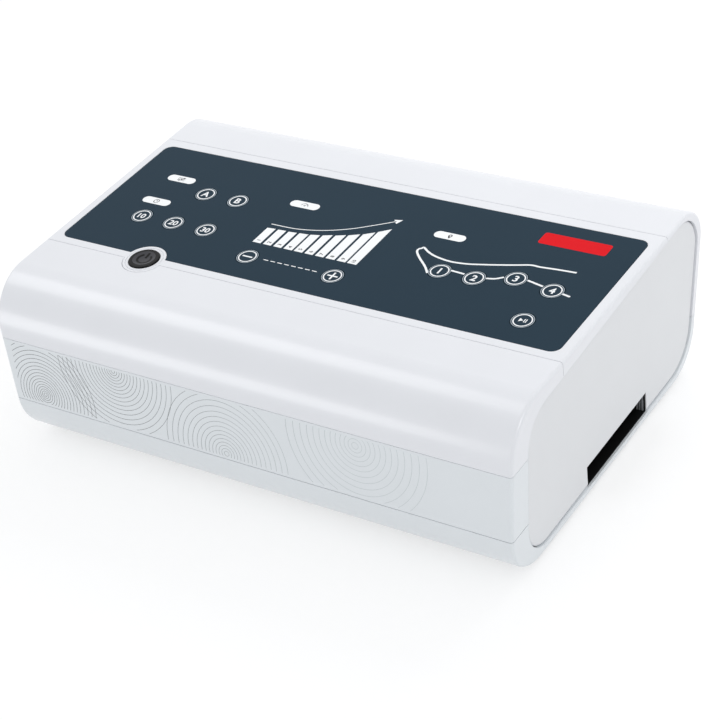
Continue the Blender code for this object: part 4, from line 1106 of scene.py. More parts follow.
@dataclass
class CaseCovers(SubAssembly):
    """The base, front band, shoulder, rear cover and the bezel round the controls."""

    shape: CaseShape
    gap: float = 0.0003
    edge: float = 0.00022
    low_seam: float = 0.0327
    high_seam: float = 0.0725
    bezel_front: float = -0.04975
    bezel_rear: float = 0.06885
    bezel_thickness: float = 0.0055
    bezel_skirt: float = 0.016
    ledge: float = 0.004
    boss_radius: float = 0.0048
    screw_radius: float = 0.0017
    screw_head: float = 0.0033
    screw_seat: float = 0.005
    screw_bite: float = 0.012
    foot_radius: float = 0.0085
    foot_recess: float = 0.0012
    post_radius: float = 0.003
    post_inset: float = 0.005
    board_bite: float = 0.0035
    pilot_depth: float = 0.0044
    pilot_radius: float = 0.0014
    key_well: float = 0.0016
    peg_radius: float = 0.0022
    peg_rise: float = 0.011
    vent_count: int = 7
    vent_size: tuple[float, float] = (0.034, 0.0026)
    vent_pitch: float = 0.0066
    vent_middle: float = 0.0236

    def zone(self, low_y: float, high_y: float, low_z: float, high_z: float) -> Solid:
        """A box across the whole width, which keeps one cover out of the case."""
        across = self.shape.width / 2 + self.shape.overrun
        return Solid.block((-across, low_y, low_z), (across, high_y, high_z))

    def ledge_under(self, seam: float, direction: int) -> Solid:
        """The stepped ledge that carries an edge of the bezel.

        Args:
            seam: Y of the seam.
            direction: Which way the bezel lies.

        Returns:
            The ledge.
        """
        wall = self.shape.wall
        under = self.shape.top - self.bezel_thickness - self.shape.clearance
        outside = seam - direction * self.gap / 2
        back = outside - direction * wall
        across = self.shape.width / 2 - 2 * self.shape.rim
        ys, zs = sorted((back, outside)), (under - wall / 2, self.shape.top)
        upright = Solid.block((-across, ys[0], zs[0]), (across, ys[1], zs[1]))
        ys = sorted((back, seam + direction * self.ledge))
        step = Solid.block((-across, ys[0], under - wall), (across, ys[1], under))
        return upright.combined(Operation.JOIN, step)

    def bosses(self, names: Iterable[str], low: float, high: float, core: Solid) -> Solid:
        """Screw bosses over the named screws, trimmed to end inside the walls."""
        places = [middle(name).xy for name in names]
        return Solid.rods(places, low, high, self.boss_radius).combined(Operation.KEEP, core)

    def hung(self, cover: Solid, names: Sequence[str], core: Solid) -> Solid:
        """Give a cover the bosses that its screws go up into, each with its pilot hole."""
        low = self.low_seam + self.gap / 2
        cover.combined(Operation.JOIN, self.bosses(names, low, self.shape.top, core))
        places = [middle(name).xy for name in names]
        tip = self.low_seam + self.screw_bite + self.shape.clearance
        return cover.combined(
            Operation.CUT, Solid.rods(places, low - self.gap, tip, self.screw_radius + self.shape.clearance)
        )

    def build(self) -> None:
        """Make the five covers."""
        shape = self.shape
        core = shape.filled(shape.wall / 2, shape.rim / 2)
        blank = shape.filled(0, 0, shape.crease)
        openings = shape.openings()
        shell = blank.copy().combined(Operation.CUT, shape.filled(shape.wall, shape.rim), openings)
        far = shape.depth / 2 + shape.overrun
        above = shape.top + shape.overrun
        self.build_base(shell.copy(), core, far)
        band = self.zone(-far, self.bezel_front, self.low_seam + self.gap / 2, self.high_seam - self.gap / 2)
        cover = shell.copy().combined(Operation.KEEP, band).softened(self.edge)
        # the front band's darker cool white is painted shade on the same white plastic
        self.fit("front_band_cover", cover, Look.COOL_WHITE_COVER, stands_for=["front_band"])
        self.build_shoulder(shell.copy(), core, far, above)
        self.build_rear(shell, core, far, above)
        self.build_bezel(blank.combined(Operation.CUT, openings), above)

    def build_base(self, base: Solid, core: Solid, far: float) -> None:
        """Make the base, with its bosses, posts, pegs, vents and foot recesses.

        Args:
            base: The whole shell.
            core: What inner features are trimmed to.
            far: Reach of the cutting boxes along Y.
        """
        shape = self.shape
        seam = self.low_seam - self.gap / 2
        floor = shape.base + shape.wall
        base.combined(Operation.KEEP, self.zone(-far, far, shape.base - shape.overrun, seam))
        screws = [f"case_screw_{end}_{side}" for end in ("front", "rear") for side in ("left", "right")]
        low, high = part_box("power_board")
        posts = [
            (x, y)
            for x in (low[0] + self.post_inset, high[0] - self.post_inset)
            for y in (low[1] + self.post_inset, high[1] - self.post_inset)
        ]
        pegs = [middle(f"compressor_mount_{number}").xy for number in range(1, 5)]
        inner = [
            self.bosses(screws, shape.base, seam, core),
            Solid.rods(posts, shape.base, low[2] - shape.clearance, self.post_radius),
            Solid.rods(pegs, shape.base, floor + self.peg_rise, self.peg_radius),
        ]
        for rods in inner[1:]:
            rods.combined(Operation.KEEP, core)
        base.combined(Operation.JOIN, *inner)
        places = [middle(name).xy for name in screws]
        seat = shape.base + self.screw_seat
        bore, sink = self.screw_radius + shape.clearance, self.screw_head + shape.clearance
        feet = [middle(f"foot_{end}_{side}").xy for end in ("front", "rear") for side in ("left", "right")]
        recess = shape.base + self.foot_recess
        base.combined(
            Operation.CUT,
            Solid.rods(places, seat - self.screw_seat / 2, seam + shape.overrun, bore),
            Solid.rods(places, seat - shape.overrun, seat, sink),
            Solid.rods(feet, recess - shape.overrun, recess, self.foot_radius + shape.clearance, 64),
            self.vents(),
        )
        # the base's darker cool white is painted shade on the same white plastic
        self.fit("base_cover", base.softened(self.edge), Look.COOL_WHITE_COVER, stands_for=["bottom_case"])

    def vents(self) -> Solid:
        """The round-ended slots in the floor, in two banks."""
        made = Solid()
        low, high = self.shape.base - self.shape.wall, self.shape.base + 2 * self.shape.wall
        for number in range(self.vent_count):
            y = (number - (self.vent_count - 1) / 2) * self.vent_pitch
            for x in (-self.vent_middle, self.vent_middle):
                made.added(Solid.plate(*self.vent_size, self.vent_size[1], low, high, (x, y)))
        return made

    def build_shoulder(self, shoulder: Solid, core: Solid, far: float, above: float) -> None:
        """Make the round shoulder in front of the controls.

        Args:
            shoulder: The whole shell.
            core: What inner features are trimmed to.
            far: Reach of the cutting boxes along Y.
            above: Reach of the cutting boxes upwards.
        """
        zone = self.zone(-far, self.bezel_front - self.gap / 2, self.high_seam + self.gap / 2, above)
        ledge = self.ledge_under(self.bezel_front, 1).combined(Operation.KEEP, core)
        shoulder.combined(Operation.KEEP, zone).combined(Operation.JOIN, ledge)
        tab = PowerButton.tab_radius + self.gap
        place = middle("power_button").xy
        shoulder.combined(Operation.CUT, Solid.rods([place], self.high_seam, above, tab, FINE_STEPS))
        self.hung(shoulder, ["case_screw_front_left", "case_screw_front_right"], core)
        self.fit("shoulder", shoulder.softened(self.edge), Look.WHITE_COVER, stands_for=["shoulder_cover"])

    def build_rear(self, rear: Solid, core: Solid, far: float, above: float) -> None:
        """Make the rear cover, with the hole for the mains inlet.

        Args:
            rear: The whole shell.
            core: What inner features are trimmed to.
            far: Reach of the cutting boxes along Y.
            above: Reach of the cutting boxes upwards.
        """
        zone = self.zone(self.bezel_rear + self.gap / 2, far, self.low_seam + self.gap / 2, above)
        ledge = self.ledge_under(self.bezel_rear, -1).combined(Operation.KEEP, core)
        rear.combined(Operation.KEEP, zone).combined(Operation.JOIN, ledge)
        self.hung(rear, ["case_screw_rear_left", "case_screw_rear_right"], core)
        inlet = MainsInlet(self.shape)
        half_x, half_z = (size / 2 + self.shape.clearance for size in (inlet.width, inlet.height))
        reach = self.shape.overrun
        hole = Solid.block((-half_x, -reach, -half_z), (half_x, reach, half_z)).moved(inlet.place())
        rear.combined(Operation.CUT, hole)
        self.fit("rear", rear.softened(self.edge), Look.WHITE_COVER, stands_for=["rear_cover"])

    def build_bezel(self, bezel: Solid, above: float) -> None:
        """Make the flat bezel that the overlay lies in.

        Args:
            bezel: The filled case, with its end openings.
            above: Reach of the cutting boxes upwards.
        """
        shape = self.shape
        inside, across = shape.width / 2 - shape.rim, shape.depth / 2
        under = shape.top - self.bezel_thickness
        hollow = Solid.block((-inside, -across, shape.base), (inside, across, under))
        low = shape.top - self.bezel_skirt
        zone = self.zone(self.bezel_front + self.gap / 2, self.bezel_rear - self.gap / 2, low, above)
        bezel.combined(Operation.CUT, hollow.drafted(shape.end_lean, shape.top))
        bezel.combined(Operation.KEEP, zone)
        button = [middle("power_button").xy]
        overlay = ControlOverlay(shape)
        floor = overlay.underside() - shape.clearance
        posts = [middle(f"board_screw_{number}").xy for number in range(1, 5)]
        board_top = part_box("board_screw_1")[0][2] + self.board_bite
        bezel.combined(
            Operation.JOIN,
            Solid.rods(button, under, shape.top, PowerButton.tab_radius, FINE_STEPS),
            Solid.rods(posts, board_top + shape.clearance, floor - shape.wall / 2, self.post_radius),
        )
        keys = [middle(name).xy for name in Keys.names()]
        bore = PowerButton.radius + shape.clearance
        bezel.combined(
            Operation.CUT,
            overlay.outline(shape.clearance, floor, above),
            Solid.rods(keys, floor - self.key_well, above, Keys.radius + Keys.flange + shape.clearance),
            Solid.rods(keys, under - shape.wall, above, Keys.stem_radius + shape.clearance, 24),
            Solid.rods(button, under - shape.overrun, above, bore, FINE_STEPS),
            Solid.rods(
                posts, board_top - shape.clearance, board_top + self.pilot_depth, self.pilot_radius, 24
            ),
            PowerButton.groove_cutter(button, shape.top),
        )
        self.fit("bezel", bezel.softened(self.edge), Look.WHITE_COVER, stands_for=["panel_bezel"])


@dataclass
class FrontPattern(SubAssembly):
    """Fine ripples printed on the front band, in four families of rings that fade to the right."""

    shape: CaseShape
    low: float = 0.0345
    high: float = 0.0708
    half: float = 0.163
    line: float = 0.0002
    families: tuple[tuple[float, float, float, float, int], ...] = (
        (-0.143, 0.0405, 0.0011, 0.05, 18),
        (-0.086, 0.0705, 0.0013, 0.05, 17),
        (-0.012, 0.0365, 0.0015, 0.055, 15),
        (0.076, 0.066, 0.0019, 0.06, 13),
    )

    def build(self) -> None:
        """Draw the rings, clip them to the band and print them."""
        pen = Pen()
        for x, height, pitch, growth, count in self.families:
            for number in range(1, count + 1):
                pen.ring((x, height), pitch * number * (1 + growth * number), self.line)
        bm = pen.solid.bm
        limits = (
            ((0, self.low), (0, -1)),
            ((0, self.high), (0, 1)),
            ((-self.half, 0), (-1, 0)),
            ((self.half, 0), (1, 0)),
        )
        for point, aim in limits:
            bmesh.ops.bisect_plane(
                bm,
                geom=bm.verts[:] + bm.edges[:] + bm.faces[:],
                dist=MERGE / 10,
                plane_co=(*point, 0),
                plane_no=(*aim, 0),
                clear_outer=True,
            )
        self.fit("front_ripples", pen.inked(self.place()), Look.RIPPLE_INK, Look.COOL_WHITE_COVER)

    def place(self) -> Matrix:
        """Takes the drawing plane to the band's leaning face, with its Y at each height."""
        angle, reach = self.shape.section().sides[2]
        out = Vector((0, math.cos(angle), math.sin(angle)))
        turn = Matrix.Identity(4)
        turn.col[1] = (0, -out.z / out.y, 1, 0)
        turn.col[2] = (*out, 0)
        turn.col[3] = (0, reach / out.y, 0, 1)
        return turn


@dataclass
class EndPanels(SubAssembly):
    """The two recessed end panels; the right one has the hose socket's slot."""

    shape: CaseShape
    thickness: float = 0.0042
    recess: float = 0.0008
    edge: float = 0.0017
    slot_length: float = 0.0695
    slot_height: float = 0.0133
    slot_centre: float = 0.0047

    def slot_top(self) -> float:
        """Height of the slot's upper edge."""
        return self.shape.base + self.shape.rim_bottom + self.slot_height

    def build(self) -> None:
        """Make both panels."""
        shape = self.shape
        far = shape.width / 2 - self.recess
        for side, direction in (("left", -1), ("right", 1)):
            low, high = sorted((direction * far, direction * (far - self.thickness)))
            panel = shape.opening().prism(low, high, shape.clearance, self.edge)
            panel.drafted(shape.end_lean, shape.top)
            if direction > 0:
                front, rear = (self.slot_centre + side_y * self.slot_length / 2 for side_y in (-1, 1))
                low_corner = (far - shape.overrun, front, shape.base)
                slot = Solid.block(low_corner, (far + shape.overrun, rear, self.slot_top()))
                panel.combined(Operation.CUT, slot).softened(0.0003, angle=math.radians(60))
            name = f"side_panel_{side}"
            self.fit(f"end_panel_{side}", panel, Look.SIDE_PANEL, stands_for=[name])


@dataclass
class ControlOverlay(SubAssembly):
    """The dark film with the printed scales round the keys."""

    shape: CaseShape
    width: float = 0.33
    depth: float = 0.1057
    radius: float = 0.0055
    thickness: float = 0.0007
    arrow_line: float = 0.6
    leg_line: float = 1.25

    def underside(self) -> float:
        """Height of the film's underside."""
        return self.shape.top - self.thickness

    def outline(self, grow: float, low: float, high: float) -> Solid:
        """The film's outline, less the tab round the power button.

        Args:
            grow: How far it is grown.
            low: Height of its underside.
            high: Height of its top.

        Returns:
            The outline as a plate.
        """
        centre = (0, self.shape.panel_middle)
        width, depth = self.width + 2 * grow, self.depth + 2 * grow
        made = Solid.plate(width, depth, self.radius + grow, low, high, centre)
        tab = PowerButton.tab_radius + self.shape.clearance - grow
        notch = Solid.rods([middle("power_button").xy], low - 0.01, high + 0.01, tab, FINE_STEPS)
        return made.combined(Operation.CUT, notch)

    def sheet(self) -> Matrix:
        """Takes millimetres on the film, from its middle, to the film's face."""
        middle_point = (0, self.shape.panel_middle, self.shape.top + INK_LIFT)
        return Matrix.Translation(middle_point) @ Matrix.Scale(MILLIMETRE, 4)

    def printed(self, name: str, pen: Pen, look: Look) -> None:
        """Print marks drawn in millimetres on the film."""
        self.fit(name, pen.inked(self.sheet(), INK / MILLIMETRE), look, Look.OVERLAY)

    def build(self) -> None:
        """Make the film and everything printed on it."""
        film = self.outline(0, self.underside(), self.shape.top)
        holes = [middle(name).xy for name in Keys.names()]
        reach = self.shape.wall
        clear = Keys.radius + self.shape.clearance
        low, high = self.underside() - reach, self.shape.top + reach
        film.combined(Operation.CUT, Solid.rods(holes, low, high, clear, 72))
        self.fit("overlay_film", film.softened(0.0001), Look.OVERLAY, stands_for=["control_overlay"])
        self.printed("label_pills", self.pills(), Look.WHITE_INK)
        self.printed("label_signs", self.signs(), Look.SLATE_INK)
        self.printed("pressure_bars", self.bars(), Look.WHITE_INK)
        self.printed("pressure_numerals", self.bar_numerals(), Look.SLATE_INK)
        self.printed("pressure_arrow", self.arrow(), Look.WHITE_INK)
        self.printed("leg_outline", self.leg(), Look.WHITE_INK)
        self.printed("red_bar", Pen().bar((127.35, 37.6), 41.3, 10.6, 1.6), Look.RED_INK)

    pill_places = ((-131.8, 22.5), (-131.6, -2.9), (-41.0, 22.5), (57.6, 21.8))

    def pills(self) -> Pen:
        """The four white labels, left without words."""
        pen = Pen()
        for place in self.pill_places:
            pen.bar(place, 19.9, 6.2, 3.1)
        return pen

    def signs(self) -> Pen:
        """A plain sign on each label: sliders, a clock, a gauge and a marker."""
        pen = Pen()
        (x, y), (clock_x, clock_y), gauge, marker = self.pill_places
        for row in (-1.2, 0, 1.2):
            pen.bar((x, y + row), 5.4, 0.35).disc((x + row, y + row), 0.6)
        pen.ring((clock_x, clock_y), 1.75, 0.4)
        pen.bar((clock_x, clock_y + 0.55), 0.35, 1.3).bar((clock_x + 0.45, clock_y), 1.1, 0.35)
        base = (gauge[0], gauge[1] - 0.8)
        pen.ring(base, 2.2, 0.4, 0, math.pi).disc(base, 0.45)
        pen.stroke((base, (base[0] + 1.1, base[1] + 1.3)), 0.35)
        pen.ring((marker[0], marker[1] + 0.5), 0.95, 0.6)
        pen.polygon(
            (marker[0] - 1.05, marker[1] - 0.1),
            (marker[0], marker[1] - 2.2),
            (marker[0] + 1.05, marker[1] - 0.1),
        )
        return pen

    bar_tops = (
        (-48.6, -43.1, -5.0, -4.5),
        (-41.3, -35.9, -4.6, -4.2),
        (-34.1, -28.7, -4.4, -3.9),
        (-27.0, -21.2, -3.7, -3.1),
        (-19.9, -14.2, -2.9, -1.5),
        (-12.6, -7.1, -1.2, 1.0),
        (-5.4, 0.2, 1.1, 3.5),
        (1.7, 7.6, 3.8, 6.9),
        (9.2, 14.9, 7.4, 11.4),
        (16.1, 22.2, 12.3, 17.3),
    )
    bar_foot = -20.0

    def bars(self) -> Pen:
        """The ten rising bars of the pressure scale, and the dashes between its keys."""
        pen = Pen()
        foot = self.bar_foot
        for left, right, top_left, top_right in self.bar_tops:
            pen.polygon((left, foot), (right, foot), (right, top_right), (left, top_left))
        for number in range(8):
            pen.bar((-29.85 + 4.71 * number, -33.2), 3.1, 0.6)
        return pen

    def bar_numerals(self) -> Pen:
        """The small turned numeral at the foot of each bar."""
        pen = Pen()
        for number, (left, right, _, _) in enumerate(self.bar_tops, start=1):
            width = 2.4 if number < 10 else 2.2
            pen.letters(str(number), width, ((left + right) / 2, self.bar_foot + 2.6), math.pi / 2)
        return pen

    def arrow(self) -> Pen:
        """The curved arrow over the bars."""
        run = ((-48.6, -0.9), (-31.1, -0.4), (-15.0, 3.4), (-1.0, 9.9), (11.6, 18.5), (20.4, 25.1))
        return Pen().curve(run, self.arrow_line).polygon((18.3, 26.2), (21.5, 22.8), (23.4, 27.4))

    def leg(self) -> Pen:
        """The line of a leg over the zone keys, and the links between them."""
        back = (
            (64.3, -13.4),
            (59.6, -8.3),
            (51.9, -1.7),
            (47.8, 2.8),
            (47.5, 5.3),
            (48.6, 6.2),
            (49.5, 7.4),
            (53.9, 4.6),
            (60.2, 2.0),
            (70.2, 0.4),
            (80.2, 1.3),
            (89.2, 3.7),
            (98.0, 6.4),
            (106.6, 9.3),
            (114.2, 11.9),
            (120.2, 12.0),
            (129.8, 12.9),
            (140.9, 13.6),
        )
        pen = Pen().curve(back, self.leg_line)
        links = (
            ((75.5, -7.0), (84.2, -7.6)),
            ((97.5, -7.2), (102.3, -5.8), (106.1, -3.0)),
            ((119.6, -1.3), (130.0, -3.6)),
            ((143.1, -6.2), (148.0, -7.2)),
        )
        for link in links:
            pen.curve(link, self.leg_line)
        return pen


@dataclass
class Keys(SubAssembly):
    """The twelve round keys, each with its printed rings and sign, which move with it."""

    shape: CaseShape
    signs = {
        "key_mode_a": ("A", 5.0),
        "key_mode_b": ("B", 5.0),
        "key_time_10": ("10", 4.5),
        "key_time_20": ("20", 4.5),
        "key_time_30": ("30", 4.5),
        "key_pressure_minus": ("-", 6.6),
        "key_pressure_plus": ("+", 6.6),
        "key_zone_1": ("1", 5.1),
        "key_zone_2": ("2", 5.1),
        "key_zone_3": ("3", 5.1),
        "key_zone_4": ("4", 5.1),
        "key_start": ("", 0.0),
    }
    radius = 0.0066
    flange = 0.0009
    flange_thickness: float = 0.0008
    cap: float = 0.001
    stem_radius = 0.0022
    stem: float = 0.0064
    stroke: float = 1.05
    inner_ring: tuple[float, float] = (5.05, 0.72)
    outer_ring: tuple[float, float] = (6.12, 0.36)

    @classmethod
    def names(cls) -> tuple[str, ...]:
        """Names of the keys' nodes."""
        return tuple(cls.signs)

    def build(self) -> None:
        """Make each key and its print."""
        foot = -self.cap - self.flange_thickness
        wide = self.radius + self.flange
        for name, (sign, height) in self.signs.items():
            x, y = middle(name).xy
            key = Solid().line(
                (0, 0),
                (self.radius, 0),
                (self.radius, -self.cap),
                (wide, -self.cap),
                (wide, foot),
                (self.stem_radius, foot),
                (self.stem_radius, foot - self.stem),
                (0, foot - self.stem),
            )
            key.whirled((x, y, self.shape.top), 64).softened(0.00012)
            self.fit(f"{name}_cap", key, Look.OVERLAY, body=name, stands_for=[name])
            sheet = Matrix.Translation((x, y, self.shape.top + INK_LIFT)) @ Matrix.Scale(MILLIMETRE, 4)
            print_ = self.drawn(sign, height).inked(sheet, INK / MILLIMETRE)
            self.fit(f"{name}_print", print_, Look.WHITE_INK, Look.OVERLAY, body=name)
            rim = Pen().ring((0, 0), *self.outer_ring).inked(sheet, INK / MILLIMETRE)
            self.fit(f"{name}_rim", rim, Look.GREY_INK, Look.OVERLAY, body=name)

    def drawn(self, sign: str, height: float) -> Pen:
        """The bright ring and the sign inside it, in millimetres.

        Args:
            sign: A numeral, a letter, a plus, a minus, or nothing for the start key.
            height: Its height.

        Returns:
            The marks.
        """
        pen = Pen().ring((0, 0), *self.inner_ring)
        if sign in ("-", "+"):
            pen.bar((0, 0), height, self.stroke)
            if sign == "+":
                rest = (height - self.stroke) / 2
                for side in (-1, 1):
                    pen.bar((0, side * (self.stroke + rest) / 2), self.stroke, rest)
        elif sign:
            pen.letters(sign, height, (0, 0))
        else:
            pen.polygon((-2.1, -1.5), (0.2, 0), (-2.1, 1.5))
            pen.bar((0.95, 0), 0.55, 2.9).bar((2.05, 0), 0.55, 2.9)
        return pen


@dataclass
class PowerButton(SubAssembly):
    """The dished gloss button in its round tab, with a power sign."""

    shape: CaseShape
    radius = 0.0092
    tab_radius = 0.0128
    rise: float = 0.0008
    dish: float = 0.0009
    edge: float = 0.0012
    skirt: float = 0.0042
    stem_radius: float = 0.003
    sign_radius: float = 0.0041
    sign_line: float = 0.0013
    face: float = 0.0068
    film: float = 0.00005
    groove = 0.0111
    groove_width = 0.0003

    @classmethod
    def groove_cutter(cls, places: Iterable[Sequence[float]], top: float) -> Solid:
        """What cuts the fine round groove in the tab.

        Args:
            places: X and Y of the button.
            top: Height of the tab.

        Returns:
            A ring.
        """
        reach = 0.01
        outer, inner = cls.groove + cls.groove_width / 2, cls.groove - cls.groove_width / 2
        ring = Solid.rods(places, top - cls.groove_width, top + reach, outer, FINE_STEPS)
        core = Solid.rods(places, top - reach, top + 2 * reach, inner, FINE_STEPS)
        return ring.combined(Operation.CUT, core)

    def build(self) -> None:
        """Make the button and the sign in its dish."""
        place = middle("power_button")
        hollow = self.radius - 2 * self.edge
        ball = (hollow**2 + self.dish**2) / (2 * self.dish)
        bottom = self.rise - self.dish
        stem_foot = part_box("power_button")[0][2] - self.shape.top
        button = Solid().line((0, bottom)).arc((0, bottom + ball), -math.asin(hollow / ball), 12)
        button.line((self.radius - self.edge / 2, self.rise))
        button.arc((self.radius - self.edge / 2, self.rise - self.edge / 2), math.pi / 2, 6)
        button.line(
            (self.radius, -self.skirt),
            (self.stem_radius, -self.skirt),
            (self.stem_radius, stem_foot),
            (0, stem_foot),
        )
        button.whirled((*place.xy, self.shape.top))
        self.fit("button_cap", button, Look.BLACK_GLOSS, body="power_button", stands_for=["power_button"])
        face = Solid().line((0, bottom + self.film))
        face.arc((0, bottom + ball + self.film), -math.asin(self.face / ball), 12)
        under = face.last.co.z - 3 * self.film
        face.line((self.face, under), (0.6 * self.face, bottom), (0, bottom - 2 * self.film))
        face.whirled((*place.xy, self.shape.top))
        self.fit("button_face", face, Look.DARK_FACE, Look.BLACK_GLOSS, body="power_button")
        pen = Pen().ring((0, 0), self.sign_radius, self.sign_line, math.radians(125), math.radians(290))
        pen.bar((0, self.sign_radius * 0.8), self.sign_line, self.sign_radius * 1.1)
        sign = pen.inked(Matrix())
        for vert in sign.bm.verts:
            vert.co.z += bottom + ball + self.film - math.sqrt(ball**2 - vert.co.xy.length_squared)
        sign.moved(Matrix.Translation((*place.xy, self.shape.top)))
        self.fit("button_sign", sign, Look.BLACK_INK, Look.BLACK_GLOSS, body="power_button")


@dataclass
class HoseSocket(SubAssembly):
    """The deep pocket behind the slot, with four air ports and keying ribs."""

    panels: EndPanels
    length: float = 0.03
    pocket: float = 0.014
    wall: float = 0.0022
    port_pitch: float = 0.0165
    port_radius: float = 0.0024
    spigot_radius: float = 0.0039
    spigot: float = 0.006
    rib: float = 0.0009
    rib_count: int = 3
    liner_wall: float = 0.0006
    liner_gap: float = 0.0001
    liner_step: float = 0.0005
    liner_length: float = 0.0075
    key_rib: float = 0.0008

    def tubes(self, start: float, end: float, radius: float) -> Solid:
        """Rods along X through the four ports.

        Args:
            start: X of their left ends.
            end: X of their right ends.
            radius: Their radius.

        Returns:
            The rods.
        """
        height = self.panels.slot_top() - self.panels.slot_height / 2
        rods = Solid()
        for number in range(4):
            y = self.panels.slot_centre + (number - 1.5) * self.port_pitch
            lay = Matrix.Translation((0, y, height)) @ Matrix.Rotation(math.pi / 2, 4, "Y")
            rods.added(Solid.rods([(0, 0)], start, end, radius, 40).moved(lay))
        return rods

    def build(self) -> None:
        """Make the socket."""
        low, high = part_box("hose_socket")
        panels, reach = self.panels, self.panels.shape.overrun
        mouth = high[0]
        back = mouth - self.length
        top = panels.slot_top()
        socket = Solid.block((back, low[1], low[2]), (mouth, high[1], high[2]))
        front, rear = (panels.slot_centre + side * panels.slot_length / 2 for side in (-1, 1))
        floor = panels.shape.base + panels.shape.rim_bottom
        hollow = Solid.block((mouth - self.pocket, front, floor), (mouth + reach, rear, top))
        socket.combined(Operation.JOIN, self.tubes(back - self.spigot, back + self.wall, self.spigot_radius))
        socket.combined(Operation.CUT, hollow)
        inner = mouth - self.pocket
        collars = self.tubes(inner - self.wall / 2, inner + self.wall, self.spigot_radius)
        socket.combined(Operation.JOIN, collars)
        socket.combined(Operation.CUT, self.tubes(back - reach, inner + 2 * self.wall, self.port_radius))
        for number in range(self.rib_count):
            x = mouth - (2 * number + 1) * self.rib
            low_corner = (x - self.rib, rear - self.rib, floor - self.wall / 2)
            rib = Solid.block(low_corner, (x, rear + self.wall / 2, top + self.wall / 2))
            socket.combined(Operation.JOIN, rib)
        socket.combined(Operation.JOIN, self.liner(front, rear, floor, top))
        self.fit("socket", socket.softened(0.0002), Look.BLACK_MATT, stands_for=["hose_socket"])
        # the keying ribs are part of the black socket; their grey is painted highlight, standing for light on
        # the ribs in the dark slot
        ribs = Solid()
        wall = rear - self.liner_gap - self.liner_wall
        for number in range(self.rib_count):
            x = panels.shape.width / 2 - panels.recess - (2 * number + 2) * self.key_rib
            low_corner = (x - self.key_rib, wall - self.key_rib, floor + self.rib)
            ribs.added(Solid.block(low_corner, (x, wall + self.liner_wall / 2, top - self.rib)))
        ribs.drafted(panels.shape.end_lean, panels.shape.top)
        self.fit("socket_ribs", ribs, Look.GREY_PLASTIC, Look.BLACK_MATT)

    def liner(self, front: float, rear: float, floor: float, top: float) -> Solid:
        """The thin sleeve that lines the slot through the end panel.

        Args:
            front: Y of the slot's front end.
            rear: Y of its rear end.
            floor: Height of its lower edge.
            top: Height of its upper edge.

        Returns:
            The sleeve.
        """
        shape, gap, thick = self.panels.shape, self.liner_gap, self.liner_wall
        far = shape.width / 2 - self.panels.recess - self.liner_step
        near = far - self.liner_length
        sleeve = Solid.block((near, front + gap, floor + gap), (far, rear - gap, top - gap))
        inner = gap + thick
        hollow = Solid.block(
            (near - thick, front + inner, floor + inner), (far + thick, rear - inner, top - inner)
        )
        return sleeve.combined(Operation.CUT, hollow).drafted(shape.end_lean, shape.top)


@dataclass
class MainsInlet(SubAssembly):
    """The three-blade appliance inlet in the rear cover."""

    shape: CaseShape
    width: float = 0.0272
    height: float = 0.0198
    x: float = 0.0765
    z: float = 0.048
    body: float = 0.0225
    flange: float = 0.003
    flange_thickness: float = 0.0018
    flange_radius: float = 0.0022
    wall: float = 0.0016
    pocket: float = 0.0165
    chamfer: float = 0.0045
    blade: tuple[float, float, float] = (0.0016, 0.0115, 0.004)
    spacing: float = 0.007
    drop: float = 0.002

    def place(self) -> Matrix:
        """Takes the inlet's own axes, with Y outwards, to the leaning rear face."""
        angle, reach = self.shape.section().sides[0]
        y = (reach - math.sin(angle) * self.z) / math.cos(angle)
        return Matrix.Translation((self.x, y, self.z)) @ Matrix.Rotation(angle, 4, "X")

    def build(self) -> None:
        """Make the housing and its blades."""
        face = self.shape.clearance + self.flange_thickness
        half_x, half_z = self.width / 2, self.height / 2
        stand = Matrix.Rotation(-math.pi / 2, 4, "X")
        front = face - self.flange_thickness / 2
        housing = Solid.block((-half_x, face - self.body, -half_z), (half_x, front, half_z))
        width, height = self.width + 2 * self.flange, self.height + 2 * self.flange
        rim = Solid.plate(width, height, self.flange_radius, self.shape.clearance, face, (0, 0)).moved(stand)
        inner_x, inner_z = half_x - self.wall, half_z - self.wall
        floor = face - self.pocket
        hollow = Solid.block((-inner_x, floor, -inner_z), (inner_x, face + self.shape.overrun, inner_z))
        corners = [
            e
            for e in hollow.bm.edges
            if all(v.co.z > 0 for v in e.verts) and abs(e.verts[0].co.x - e.verts[1].co.x) < MERGE
            and abs(e.verts[0].co.z - e.verts[1].co.z) < MERGE
        ]
        bmesh.ops.bevel(
            hollow.bm,
            geom=corners,
            offset=self.chamfer,
            offset_type="OFFSET",
            segments=1,
            profile=0.5,
            affect="EDGES",
            material=-1,
        )
        housing.combined(Operation.JOIN, rim).combined(Operation.CUT, hollow).softened(0.0004, 3)
        self.fit("inlet_housing", housing.moved(self.place()), Look.BLACK_MATT, stands_for=["mains_inlet"])
        blades = Solid()
        thick, long, high = self.blade
        for x, z in ((-self.spacing, -self.drop), (self.spacing, -self.drop), (0, self.drop)):
            low = (x - thick / 2, floor - self.wall / 2, z - high / 2)
            blades.added(Solid.block(low, (x + thick / 2, floor + long, z + high / 2)))
        blades.softened(0.0005, 3).moved(self.place())
        self.fit("inlet_blades", blades, Look.PIN_METAL, Look.ZINC_STEEL)


